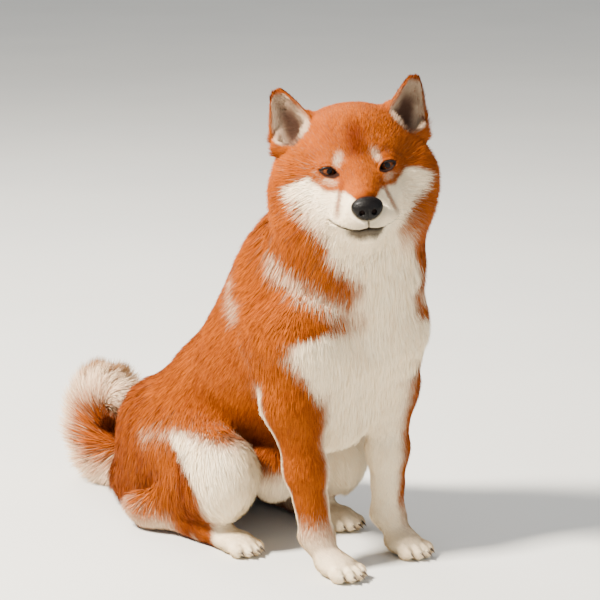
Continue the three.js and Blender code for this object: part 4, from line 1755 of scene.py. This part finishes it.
@dataclass
class Skin:
    """The one skin below the coat, with lids, lips, folds and ears."""

    form: DogForm
    coat: Coat
    marks: Markings
    cell: float = 3.0
    lid_thick: float = 1.1
    lip_depth: float = 3.2
    lip_wide: float = 1.5
    chin_depth: float = 1.2
    parting_depth: float = 1.4
    parting_wide: float = 1.1
    nose_groove: float = 2.6
    nose_groove_wide: float = 3.5
    fold_depth: float = 0.5
    fold_from_lid: float = 3.4
    bare_lid: float = 0.55
    bare_lid_reach: float = 7.0
    ear_melt: float = 4.0
    lid_melt: float = 6.0
    socket: float = 3.0
    sole: float = 0.5
    low: Vec = (-132, -362, -6)
    high: Vec = (130, 236, 536)
    face_box: tuple[Vec, Vec] = ((-1, -40, -85), (110, 200, 200))
    eye_box: tuple[Vec, Vec] = ((-1, 18, -75), (56, 200, 22))

    def measure(self, p: Array) -> Array:
        """Distance to the skin.

        Args:
            p: points in millimetres.

        Returns:
            Distances in millimetres.
        """
        form = self.form
        total, zones = form.measure(p)
        local = form.near_head(p)
        share = self.coat.shares(zones)
        weights = self.coat.kinds(p, local, share)
        depth = self.coat.number(weights, "depth")
        face = smooth(5, 20, local[:, 1]) * smooth(150, 110, form.eye.ball(local))
        opening = form.eye.opening(local)
        bare = np.exp(-((np.maximum(opening, 0) / self.bare_lid_reach) ** 2))
        depth *= 1 - self.bare_lid * face * bare
        d = total + depth
        pad = form.nose.measure(local)
        d += self.nose_groove * np.exp(-((pad / self.nose_groove_wide) ** 2)) * face
        lip = np.exp(-((form.mouth.gap(local) / self.lip_wide) ** 2)) * form.mouth.reach(local)
        below = smooth(0, -6, form.mouth.gap(local)) * smooth(60, 75, local[:, 1])
        d += face * (self.lip_depth * lip + self.chin_depth * below)
        part = np.exp(-((local[:, 0] / self.parting_wide) ** 2)) * smooth(-57, -53, local[:, 2])
        d += face * self.parting_depth * part * smooth(-40, -44, local[:, 2]) * smooth(84, 92, local[:, 1])
        fold = np.exp(-((opening - self.fold_from_lid) ** 2)) * smooth(-6, 0, local[:, 2])
        d = -melt(-d, form.ear.cup(local), self.ear_melt)
        d = melt(d, zones[Zone.EAR], self.ear_melt)
        ball = form.eye.ball(local)
        d = melt(d, ball - (form.eye.radius + self.lid_thick), self.lid_melt)
        d += face * self.fold_depth * fold
        pocket = np.maximum(opening, form.eye.radius - self.socket - ball)
        pocket = np.maximum(pocket, form.eye.at[1] + self.socket - local[:, 1])
        d = np.maximum(d, -pocket)
        return np.maximum(d, self.sole - p[:, 2]).astype(np.float32)

    def refine(self, mesh: Mesh, box: tuple[Vec, Vec], reach: float) -> None:
        """Splits the faces of one place and settles the new vertices on the skin.

        Args:
            mesh: the skin's mesh, changed in place.
            box: the low and high corners of the place, in the head's axes.
            reach: how far a vertex may move.
        """
        def chosen(places: Array) -> Array:
            """Which vertices are in the place."""
            local = self.form.near_head(places)
            return ((local > box[0]) & (local < box[1])).all(1)

        flags = chosen(vertex_places(mesh))
        work = bmesh.new()
        work.from_mesh(mesh)
        work.verts.ensure_lookup_table()
        edges = [e for e in work.edges if flags[e.verts[0].index] and flags[e.verts[1].index]]
        bmesh.ops.subdivide_edges(work, edges=edges, cuts=1, use_grid_fill=True)
        work.to_mesh(mesh)
        work.free()
        places = vertex_places(mesh)
        flags = chosen(places)
        places[flags] = settle(places[flags], self.measure, reach, 3, 0.25)
        mesh.vertices.foreach_set("co", (places * MM).ravel())
        mesh.update()

    def build(self, material: Material) -> Object:
        """Makes, unwraps and paints the skin, and puts it in place of the flesh.

        Args:
            material: the skin's finish.

        Returns:
            The skin.
        """
        points, quads = NetMesher(self.low, self.high, self.cell).mesh(self.measure)
        points = settle(points, self.measure, self.cell * 0.6)
        mesh = mesh_of("skin", points, quads)
        self.refine(mesh, self.face_box, 1.2)
        self.refine(mesh, self.eye_box, 0.7)
        skin = place("skin", mesh, material, "coat_orange")
        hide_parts(*FLESH)
        self.unwrap(skin)
        self.look_up(mesh)
        paint(mesh, "marks", self.colours)
        # The skin takes the painted root shade of a point 0.35 of the way along a tuft.
        strand = np.tile(numbers((0.35, 0.5, 0.5)), (len(mesh.vertices), 1))
        paint(mesh, "strand", strand)
        return skin

    def unwrap(self, skin: Object) -> None:
        """Unwraps the skin's own shape into the map that the coat's patches lie on.

        Args:
            skin: the skin.
        """
        skin.data.uv_layers.new(name="OFBake")
        bpy.ops.object.select_all(action="DESELECT")
        bpy.context.view_layer.objects.active = skin
        skin.select_set(True)
        bpy.ops.object.mode_set(mode="EDIT")
        bpy.ops.mesh.select_all(action="SELECT")
        bpy.ops.uv.smart_project(angle_limit=math.radians(66), island_margin=0.003)
        bpy.ops.object.mode_set(mode="OBJECT")

    def look_up(self, mesh: Mesh) -> None:
        """Keeps what the coat needs to know at every vertex of the skin.

        Args:
            mesh: the skin's mesh.
        """
        places = vertex_places(mesh)
        normals = np.zeros(len(places) * 3, np.float32)
        mesh.vertices.foreach_get("normal", normals)
        self.places, self.normals = places, normals.reshape(-1, 3)
        _, zones = self.form.measure(places)
        self.local = self.form.near_head(places)
        self.share = self.coat.shares(zones)
        self.weights = self.coat.kinds(places, self.local, self.share)
        self.colours = self.marks.at(places, self.local, self.share)
        self.flow = self.coat.lie(places, self.normals, self.share)


def vertex_places(mesh: Mesh) -> Array:
    """A mesh's vertices in millimetres.

    Args:
        mesh: the mesh.

    Returns:
        One row for each vertex.
    """
    co = np.zeros(len(mesh.vertices) * 3, np.float32)
    mesh.vertices.foreach_get("co", co)
    return co.reshape(-1, 3) / MM


@dataclass
class Tufts:
    """The coat: lancet tufts sown over the skin, and laid along it."""

    skin: Skin
    seed: int = 11
    thickness: float = 0.895
    most: int = 84_000
    patch: float = 0.003
    lot: int = 200_000
    sunk: float = 0.5
    bend_at: float = 0.42
    bend_lift: float = 1.35
    roll: float = 1.3
    lean_aside: float = 0.7
    lean_ahead: float = 0.12
    floor: float = 0.4
    lip_clear: Span = (1.9, 1.5)

    def sow(self, mesh: Mesh) -> None:
        """Sows the roots over the skin's faces and looks up their numbers.

        Args:
            mesh: the skin's mesh.
        """
        skin, rng = self.skin, np.random.default_rng(self.seed)
        mesh.calc_loop_triangles()
        count = len(mesh.loop_triangles)
        tri, loops = np.zeros(count * 3, np.int32), np.zeros(count * 3, np.int32)
        mesh.loop_triangles.foreach_get("vertices", tri)
        mesh.loop_triangles.foreach_get("loops", loops)
        tri, loops = tri.reshape(-1, 3), loops.reshape(-1, 3)
        uv = np.zeros(len(mesh.loops) * 2, np.float32)
        mesh.uv_layers["OFBake"].data.foreach_get("uv", uv)
        uv = uv.reshape(-1, 2)
        corner = skin.places[tri]
        edges = corner[:, 1:] - corner[:, :1]
        area = np.linalg.norm(np.cross(edges[:, 0], edges[:, 1]), axis=1) / 2
        weights = skin.weights[tri].mean(1)
        normal = skin.normals[tri].mean(1)
        want = area * self.skin.coat.number(weights, "density") * self.thickness
        want *= ~((corner[:, :, 2].max(1) < 1.5) & (normal[:, 2] < -0.8))
        number = np.floor(want + rng.random(count)).astype(int)
        which = np.repeat(np.arange(count), number)
        a, b = rng.random((2, len(which), 1)).astype(np.float32)
        over = (a + b) > 1
        a, b = np.where(over, 1 - a, a), np.where(over, 1 - b, b)
        share = (1 - a - b, a, b)

        def between(values: Array) -> Array:
            """Mixes the values at the three corners of each root's face."""
            return sum(s * values[tri[which, i]] for i, s in enumerate(share))

        self.root, self.normal = between(skin.places), unit(between(skin.normals))
        self.local = skin.form.near_head(self.root)
        self.weights = between(skin.weights)
        self.shares = np.stack([between(skin.share[z][:, None])[:, 0] for z in Zone], 1)
        self.zone = np.argmax(self.shares, 1)
        flow = between(skin.flow)
        self.flow = unit(flow - self.normal * (flow * self.normal).sum(1, keepdims=True))
        self.uv = sum(s * uv[loops[which, i]] for i, s in enumerate(share))
        self.chance = rng.random((len(which), 8)).astype(np.float32)

    def lay(self) -> None:
        """Works out each tuft's corners, and takes its colours from where it is seen."""
        form, coat, marks = self.skin.form, self.skin.coat, self.skin.marks
        names = ("depth", "length", "width", "scatter")
        depth, length, width, scatter = (coat.number(self.weights, name) for name in names)
        chance = self.chance
        opening = form.eye.opening(self.local)
        ahead = smooth(15, 24, self.local[:, 1])
        close = np.clip(smooth(-1, 11, opening) + 1 - ahead, 0, 1)
        pad = form.nose.measure(self.local)
        gap, reach = np.abs(form.mouth.gap(self.local)), form.mouth.reach(self.local)
        lip = 1 - reach * smooth(7, 2, gap)
        short = (0.3 + 0.7 * close) * (0.4 + 0.6 * smooth(0, 12, pad)) * (0.45 + 0.55 * lip)
        u, w, up, half = form.ear.places(self.local)
        ear = self.weights[:, KINDS.index(Kind.EAR)]
        inner = ear * smooth(0, 1, w) * smooth(0.35, 0.7, np.abs(u) / half) * smooth(0.9, 0.6, up)
        length, depth = length * short * (1 + 0.9 * inner), depth * short * (1 + 1.6 * inner)
        lift = np.arcsin(np.clip(depth / length, 0.02, 0.8)) * (0.55 + 0.6 * chance[:, 0])
        length *= 0.72 + 0.56 * chance[:, 1]
        wave = ripple(self.root, 11, 0.7) * 0.9 + ripple(self.root, 4.5, 2.2) * 0.7
        turn = scatter * (wave + 1.6 * (chance[:, 2] - 0.5))
        lift += scatter * 0.35 * ripple(self.root, 6.5, 3.3)
        side = np.cross(self.normal, self.flow)
        way = self.flow * np.cos(turn)[:, None] + side * np.sin(turn)[:, None]
        side = np.cross(self.normal, way)
        first, last = np.clip(lift * self.bend_lift, 0, 1.3)[:, None], np.clip(lift, 0, 1.2)[:, None]
        span = length[:, None]
        root = self.root - self.normal * self.sunk
        bend = root + self.bend_at * span * (way * np.cos(first) + self.normal * np.sin(first))
        tip = root + span * (way * np.cos(last) + self.normal * np.sin(last))
        seen = root + (tip - root) * (0.45 + 0.5 * chance[:, 7:8])
        share = {z: self.shares[:, i] for i, z in enumerate(Zone)}
        self.colours = np.concatenate([
            marks.at(seen[i : i + self.lot], form.near_head(seen[i : i + self.lot]),
                     {z: v[i : i + self.lot] for z, v in share.items()})
            for i in range(0, len(seen), self.lot)
        ])
        roll = (chance[:, 3:4] - 0.5) * self.roll
        half_side = (side * np.cos(roll) + self.normal * np.sin(roll)) * (width[:, None] / 2)
        half_side *= 0.7 + 0.6 * chance[:, 4:5]
        self.corners = np.stack([root, bend - half_side, bend + half_side, tip], 1)
        self.corners[:, :, 2] = np.maximum(self.corners[:, :, 2], self.floor)
        aside = (chance[:, 5:6] - 0.5) * self.lean_aside
        self.shine = unit(self.normal + side * aside + way * self.lean_ahead)
        keep = ~((opening < 0.2) & (ahead > 0.5)) & (pad > 0.4)
        keep &= reach * smooth(*self.lip_clear, gap) < 0.5
        self.keep = keep & ~((self.root[:, 2] < 1.2) & (self.normal[:, 2] < -0.6))

    def pieces(self) -> dict[str, Array]:
        """Which roots each piece of the coat has.

        Returns:
            For each piece's name, which roots are in it.
        """
        zone, x, y = self.zone, self.root[:, 0], self.root[:, 1]
        zones = list(Zone)
        kind = np.argmax(self.weights, 1)

        def on(*names: Zone) -> Array:
            """Roots in any of the zones."""
            return np.isin(zone, [zones.index(n) for n in names])

        def of(*names: Kind) -> Array:
            """Roots with any of the kinds of coat."""
            return np.isin(kind, [KINDS.index(n) for n in names])

        head, trunk = on(Zone.HEAD), on(Zone.TRUNK)
        fore, hind = on(Zone.FORE_LEFT, Zone.FORE_RIGHT), on(Zone.HIND_LEFT, Zone.HIND_RIGHT)
        low, chest = of(Kind.LEG, Kind.PAW), of(Kind.CHEST)
        body = (trunk & ~chest) | (fore & ~low)
        return {
            "coat_face": head & of(Kind.FACE),
            "coat_crown": head & of(Kind.CROWN),
            "coat_cheeks": head & ~of(Kind.FACE, Kind.CROWN),
            "coat_ears": on(Zone.EAR),
            "coat_neck": on(Zone.NECK),
            "coat_chest": trunk & chest,
            "coat_side_left": body & (x > 0) & (y < 0),
            "coat_side_right": body & (x <= 0) & (y < 0),
            "coat_rump": body & (y >= 0),
            "coat_haunch_left": hind & ~low & (x > 0),
            "coat_haunch_right": hind & ~low & (x <= 0),
            "coat_fore_legs": fore & low,
            "coat_hind_feet": hind & low,
            "coat_tail": on(Zone.TAIL),
        }

    def build(self, mesh: Mesh, material: Material) -> None:
        """Makes every piece of the coat.

        Args:
            mesh: the skin's mesh.
            material: the coat's finish.
        """
        self.sow(mesh)
        self.lay()
        for name, member in self.pieces().items():
            chosen = np.flatnonzero(member & self.keep)
            if len(chosen) > self.most:
                LOG.warning("%s has %d tufts, and keeps %d", name, len(chosen), self.most)
                chosen = chosen[np.argsort(self.chance[chosen, 6])[: self.most]]
            if len(chosen):
                slot = "coat_cream" if name == "coat_chest" else "coat_orange"
                place(name, self.piece(name, chosen), material, slot)

    def piece(self, name: str, chosen: Array) -> Mesh:
        """One piece of the coat as a mesh of two triangles for each tuft.

        Args:
            name: the piece's name.
            chosen: the numbers of its tufts.

        Returns:
            The mesh.
        """
        n = len(chosen)
        first = np.arange(n)[:, None] * 4
        faces = np.concatenate([first + (0, 1, 2), first + (1, 3, 2)], 1).reshape(-1, 3)
        mesh = mesh_of(name, self.corners[chosen].reshape(-1, 3), faces)
        spread = numbers(((0, -1), (-1, 0.2), (1, 0.2), (0, 1))) * self.patch / 2
        uv = (self.uv[chosen][:, None] + spread)[np.arange(n)[:, None], [[0, 1, 2, 1, 3, 2]]]
        layer = mesh.uv_layers.new(name="OFBake")
        layer.data.foreach_set("uv", uv.astype(np.float32).ravel())
        paint(mesh, "marks", np.repeat(self.colours[chosen], 4, 0))
        along = np.tile(numbers((0, 0.5, 0.5, 1)), n)
        luck = np.repeat(self.chance[chosen][:, 6:8], 4, 0)
        paint(mesh, "strand", np.concatenate([along[:, None], luck], 1))
        shine = mesh.attributes.new("custom_normal", "FLOAT_VECTOR", "POINT")
        shine.data.foreach_set("vector", np.repeat(self.shine[chosen], 4, 0).astype(np.float32).ravel())
        mesh.update()
        return mesh


@dataclass
class Eyes:
    """The two eyeballs, and the dark margins of their lids."""

    form: DogForm
    rings: int = 40
    around: int = 56
    bulge: float = 0.5
    gaze: dict[str, Vec] = pair((0.02, 1.0, 0.03), (-0.10, 1.0, 0.03))

    def ball(self, side: str, material: Material) -> None:
        """Makes one eyeball, whose pole looks along its gaze.

        Args:
            side: left or right.
            material: the eye's finish.
        """
        eye, sign = self.form.eye, -1 if side == "left" else 1
        share = np.linspace(0, 1, self.rings + 1) ** 1.4
        turn = np.arange(self.around) / self.around * math.tau
        angle = np.repeat(share * math.pi, self.around)
        turn = np.tile(turn, self.rings + 1)
        radius = eye.radius - 0.25 + self.bulge * smooth(0.75, 0.25, angle)
        flat = np.stack([np.sin(angle) * np.cos(turn), np.cos(angle), np.sin(angle) * np.sin(turn)], 1)
        way = Vector((0, 1, 0)).rotation_difference(Vector(self.gaze[side])).to_matrix()
        local = (flat * radius[:, None]) @ np.array(way).T
        local += np.array(eye.at) * (sign, 1, 1)
        quads = tube_quads(self.rings + 1, self.around)
        mesh = mesh_of(f"eyeball_{side}", self.form.head.out(local), quads)
        paint(mesh, "gaze", np.stack([share.repeat(self.around), np.cos(turn), np.sin(turn)], 1))
        weld(mesh)
        ball = place(f"eyeball_{side}", mesh, material, "eye")
        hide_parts(f"eye_{side}")

    def margins(self, material: Material) -> None:
        """Makes the dark rims of all four lids as one piece, lying on the eyeballs.

        Args:
            material: the finish of bare dark skin.
        """
        eye, points, faces = self.form.eye, [], []
        tube, steps, across = 0.85, 72, 8
        c, s = math.cos(math.radians(eye.tilt)), math.sin(math.radians(eye.tilt))
        for sign in (-1, 1):
            turn = np.arange(steps) / steps * math.tau
            q = (eye.half + 0.2) * np.cos(turn)
            arch = np.maximum(1 - np.cos(turn) ** 2, 0) ** 0.85
            r = np.where(np.sin(turn) > 0, (eye.upper + 0.2) * arch, -(eye.lower + 0.2) * arch)
            x, z = q * c - r * s, q * s + r * c
            reach = eye.radius + 0.35
            y = np.sqrt(np.maximum(reach**2 - x**2 - z**2, 1))
            line = np.stack([x, y, z], 1)
            out = unit(line)
            ahead = unit(np.roll(line, -1, 0) - np.roll(line, 1, 0))
            aside = unit(np.cross(ahead, out))
            thick = tube * (1 + 0.45 * (np.sin(turn) > 0) * arch)
            ring = np.arange(across) / across * math.tau
            turned, risen = np.sin(ring)[None, :, None], np.cos(ring)[None, :, None]
            rim = out[:, None] * 0.75 * risen + aside[:, None] * turned
            body = line[:, None] + thick[:, None, None] * rim
            body = (body + np.array(eye.at)).reshape(-1, 3) * (sign, 1, 1)
            start = sum(len(b) for b in points)
            quad = start + np.roll(tube_quads(steps, across, True)[:, ::-1], 1, 1)
            faces.append(quad if sign > 0 else quad[:, ::-1])
            points.append(body)
        places = self.form.head.out(np.concatenate(points))
        mesh = mesh_of("lid_margins", places, np.concatenate(faces))
        place("lid_margins", mesh, material, "nose_skin")


def weld(mesh: Mesh) -> None:
    """Joins vertices that lie on each other, such as a pole's, and drops flat faces.

    Args:
        mesh: the mesh, changed in place.
    """
    work = bmesh.new()
    work.from_mesh(mesh)
    bmesh.ops.remove_doubles(work, verts=work.verts, dist=SAME_PLACE)
    bmesh.ops.recalc_face_normals(work, faces=work.faces)
    work.to_mesh(mesh)
    work.free()


@dataclass
class Nose:
    """The nose pad, with its nostrils and the groove between them."""

    form: DogForm
    cell: float = 0.8

    def measure(self, p: Array) -> Array:
        """Distance to the pad in the head's axes.

        Args:
            p: points in the head's axes.

        Returns:
            Distances in millimetres.
        """
        local = p.copy()
        local[:, 0] = np.abs(local[:, 0])
        d = self.form.nose.measure(local)
        hole = Limb((6.0, 114, -36.0), (6.6, 101, -34), 3.1, 2.2).measure(local)
        slit = Limb((6.4, 111, -37.5), (15.0, 104, -39.5), 2.0, 0.8).measure(local)
        d = np.maximum(d, -melt(hole, slit, 2.5))
        d += 1.1 * np.exp(-((local[:, 0] / 0.9) ** 2)) * smooth(-30, -36, local[:, 2])
        return d.astype(np.float32)

    def build(self, material: Material) -> None:
        """Makes the pad in place of the CAD's nose.

        Args:
            material: the finish of the nose.
        """
        low, high = (-22, 88, -48), (22, 114, -18)
        points, quads = NetMesher(low, high, self.cell).mesh(self.measure)
        points = settle(points, self.measure, self.cell * 0.5)
        mesh = mesh_of("nose_pad", self.form.head.out(points), quads)
        pad = place("nose_pad", mesh, material, "nose_skin")
        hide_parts("nose")


@dataclass
class Claws:
    """The claws of all four feet."""

    form: DogForm
    length: float = 10.0
    radius: float = 2.1
    steps: int = 9
    around: int = 10

    def build(self, material: Material) -> None:
        """Makes all sixteen claws as one piece.

        Args:
            material: the finish of horn.
        """
        form, points, faces = self.form, [], []
        t = np.linspace(0, 1, self.steps)
        ring = np.arange(self.around) / self.around * math.tau
        size = self.radius * np.maximum(1 - t, 0.02) ** 0.7
        shape = np.stack([
            size[:, None] * 0.8 * np.cos(ring)[None],
            -self.length * t[:, None] + 0 * ring[None],
            size[:, None] * np.sin(ring)[None] - (4.2 * t**2)[:, None],
        ], -1).reshape(-1, 3)
        quad = tube_quads(self.steps, self.around)
        for side in SIDES:
            for paw, grow in ((form.fore_paw(side), 1.0), (form.hind_paw(side), form.hind_grow)):
                for toe in form.toes:
                    at = plus(form.toe_at(paw, toe, grow), (0, -8.0 * grow, 1.0))
                    faces.append(quad + len(points) * len(shape))
                    points.append(shape + np.array(at))
        mesh = mesh_of("claws", np.concatenate(points), np.concatenate(faces))
        weld(mesh)
        claws = place("claws", mesh, material, "claw")
        feet = [f"{end}_{side}" for end in ("fore", "hind") for side in SIDES]
        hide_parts(*[f"claw_{foot}_{n}" for foot in feet for n in range(1, 5)])


@dataclass
class Whiskers:
    """A few fine whiskers on the muzzle."""

    form: DogForm
    radius: float = 0.16
    rows: tuple[Vec, ...] = (
        (23, 84, -40), (26, 76, -43), (21, 88, -45), (25, 80, -48), (17, 90, -50),
    )

    def build(self, material: Material) -> None:
        """Makes every whisker as one piece.

        Args:
            material: the finish of the whiskers.
        """
        points, faces = [], []
        rng = np.random.default_rng(5)
        around, steps = 5, 8
        t = np.linspace(0, 1, steps)[:, None]
        for sign in (-1, 1):
            for spot in self.rows:
                at = np.array(spot, float)
                way = np.array((0.95, 0.1 * rng.random(), -0.25 + 0.35 * rng.random()))
                length = 20 + 16 * rng.random()
                line = at + way * length * t + np.array((0, -12, -6)) * t**2
                ring = np.arange(around) / around * math.tau
                size = self.radius * (1 - 0.85 * t)
                circle = np.stack([0 * ring, np.cos(ring), np.sin(ring)], 1)
                tube = line[:, None] + size[:, None] * circle
                quad = tube_quads(steps, around)
                faces.append((quad if sign < 0 else quad[:, ::-1]) + len(points) * around * steps)
                points.append(tube.reshape(-1, 3) * (sign, 1, 1))
        places = self.form.head.out(np.concatenate(points))
        mesh = mesh_of("whiskers", places, np.concatenate(faces))
        place("whiskers", mesh, material, "claw")


@dataclass
class Studio:
    """Plain floor, soft lights and the camera at the photograph's angle."""

    target: Vec = (0.01190265, -0.15556609, 0.26593463)
    azimuth: float = -40.0
    elevation: float = 12.0
    distance: float = 3.0
    lens: float = 166.0
    floor_half: float = 6000.0
    floor_light: Colour = linear(214, 213, 208)
    floor_dark: Colour = linear(206, 205, 201)
    sky: Colour = (0.86, 0.90, 0.95, 1.0)
    sky_strength: float = 0.6

    def back(self) -> Vector:
        """From the target to the camera, at length 1."""
        a, e = math.radians(self.azimuth), math.radians(self.elevation)
        return Vector((math.sin(a) * math.cos(e), -math.cos(a) * math.cos(e), math.sin(e)))

    def aim(self, thing: Object, at: Vector) -> None:
        """Turns a camera or a light towards a place."""
        thing.rotation_euler = (thing.location - at).to_track_quat("Z", "Y").to_euler()

    def light(self, name: str, offset: Vec, size: float, power: float, colour: Vec) -> None:
        """Adds one soft area light.

        Args:
            name: the light's name.
            offset: its place from the target, as amounts towards the camera, to its right and up.
            size: the length of its side.
            power: watts.
            colour: its colour.
        """
        data = bpy.data.lights.new(name, "AREA")
        data.size, data.energy, data.color = size, power, colour
        lamp = bpy.data.objects.new(name, data)
        flat = self.back()
        flat.z = 0
        flat.normalize()
        right = Vector((-flat.y, flat.x, 0))
        up = Vector((0, 0, offset[2]))
        lamp.location = Vector(self.target) + flat * offset[0] + right * offset[1] + up
        self.aim(lamp, Vector(self.target))
        link(lamp)

    def floor(self) -> None:
        """A wide pale floor."""
        points = np.array([(-1, -1, 0), (1, -1, 0), (1, 1, 0), (-1, 1, 0)]) * self.floor_half
        mesh = mesh_of("floor", points, np.array([[0, 1, 2, 3]]))
        floor = bpy.data.objects.new("floor", mesh)
        link(floor)
        material, g = new_material("Floor")
        colour = g.mix(g.noise(3.0), self.floor_light, self.floor_dark)
        g.shader({"Base Color": colour, "Roughness": 0.9, "Specular IOR Level": 0.1})
        mesh.materials.append(material)

    def build(self) -> None:
        """Sets up the floor, the lights, the sky and the camera."""
        self.floor()
        self.light("key", (1.1, -2.0, 2.5), 0.55, 680.0, (1.0, 0.93, 0.82))
        self.light("fill", (2.2, 1.7, 0.9), 2.0, 20.0, (0.90, 0.95, 1.0))
        self.light("rim", (-1.7, -0.8, 1.8), 1.2, 55.0, (1.0, 0.97, 0.92))
        world = bpy.data.worlds.new("Studio")
        world.use_nodes = True
        sky = world.node_tree.nodes["Background"]
        sky.inputs["Color"].default_value = self.sky
        sky.inputs["Strength"].default_value = self.sky_strength
        bpy.context.scene.world = world
        data = bpy.data.cameras.new("camera")
        data.lens, data.sensor_width = self.lens, 36.0
        data.clip_end = 50.0
        camera = bpy.data.objects.new("camera", data)
        camera.location = Vector(self.target) + self.back() * self.distance
        self.aim(camera, Vector(self.target))
        link(camera)
        bpy.context.scene.camera = camera


def main() -> None:
    """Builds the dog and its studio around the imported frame."""
    logging.basicConfig(level=logging.INFO, format="%(message)s")
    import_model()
    form = DogForm()
    coat, marks = Coat(form), Markings(form)
    colours = coat_colours(CoatTints())
    skin = Skin(form, coat, marks)
    body = skin.build(CoatFinish("Skin", 0.5).make(colours))
    Tufts(skin).build(body.data, CoatFinish("Coat").make(colours))
    eyes = Eyes(form)
    wet = EyeFinish().make()
    for side in SIDES:
        eyes.ball(side, wet)
    dark = HornFinish("Nose leather", linear(10, 7, 6), linear(5, 3, 3), 900.0, 0.4, 0.5, 0.04)
    Nose(form).build(dark.make())
    lids = HornFinish("Lid margins", linear(34, 24, 20), linear(16, 11, 10), 1500.0, 0.42, 0.2, 0.08)
    eyes.margins(lids.make())
    horn = HornFinish("Claw horn", linear(96, 80, 66), linear(44, 34, 30), 600.0, 0.4, 0.15)
    Claws(form).build(horn.make())
    hair = HornFinish("Whisker", linear(60, 52, 46), linear(30, 24, 22), 600.0, 0.5, 0.0)
    Whiskers(form).build(hair.make())
    Studio().build()


if __name__ == "__main__":
    main()
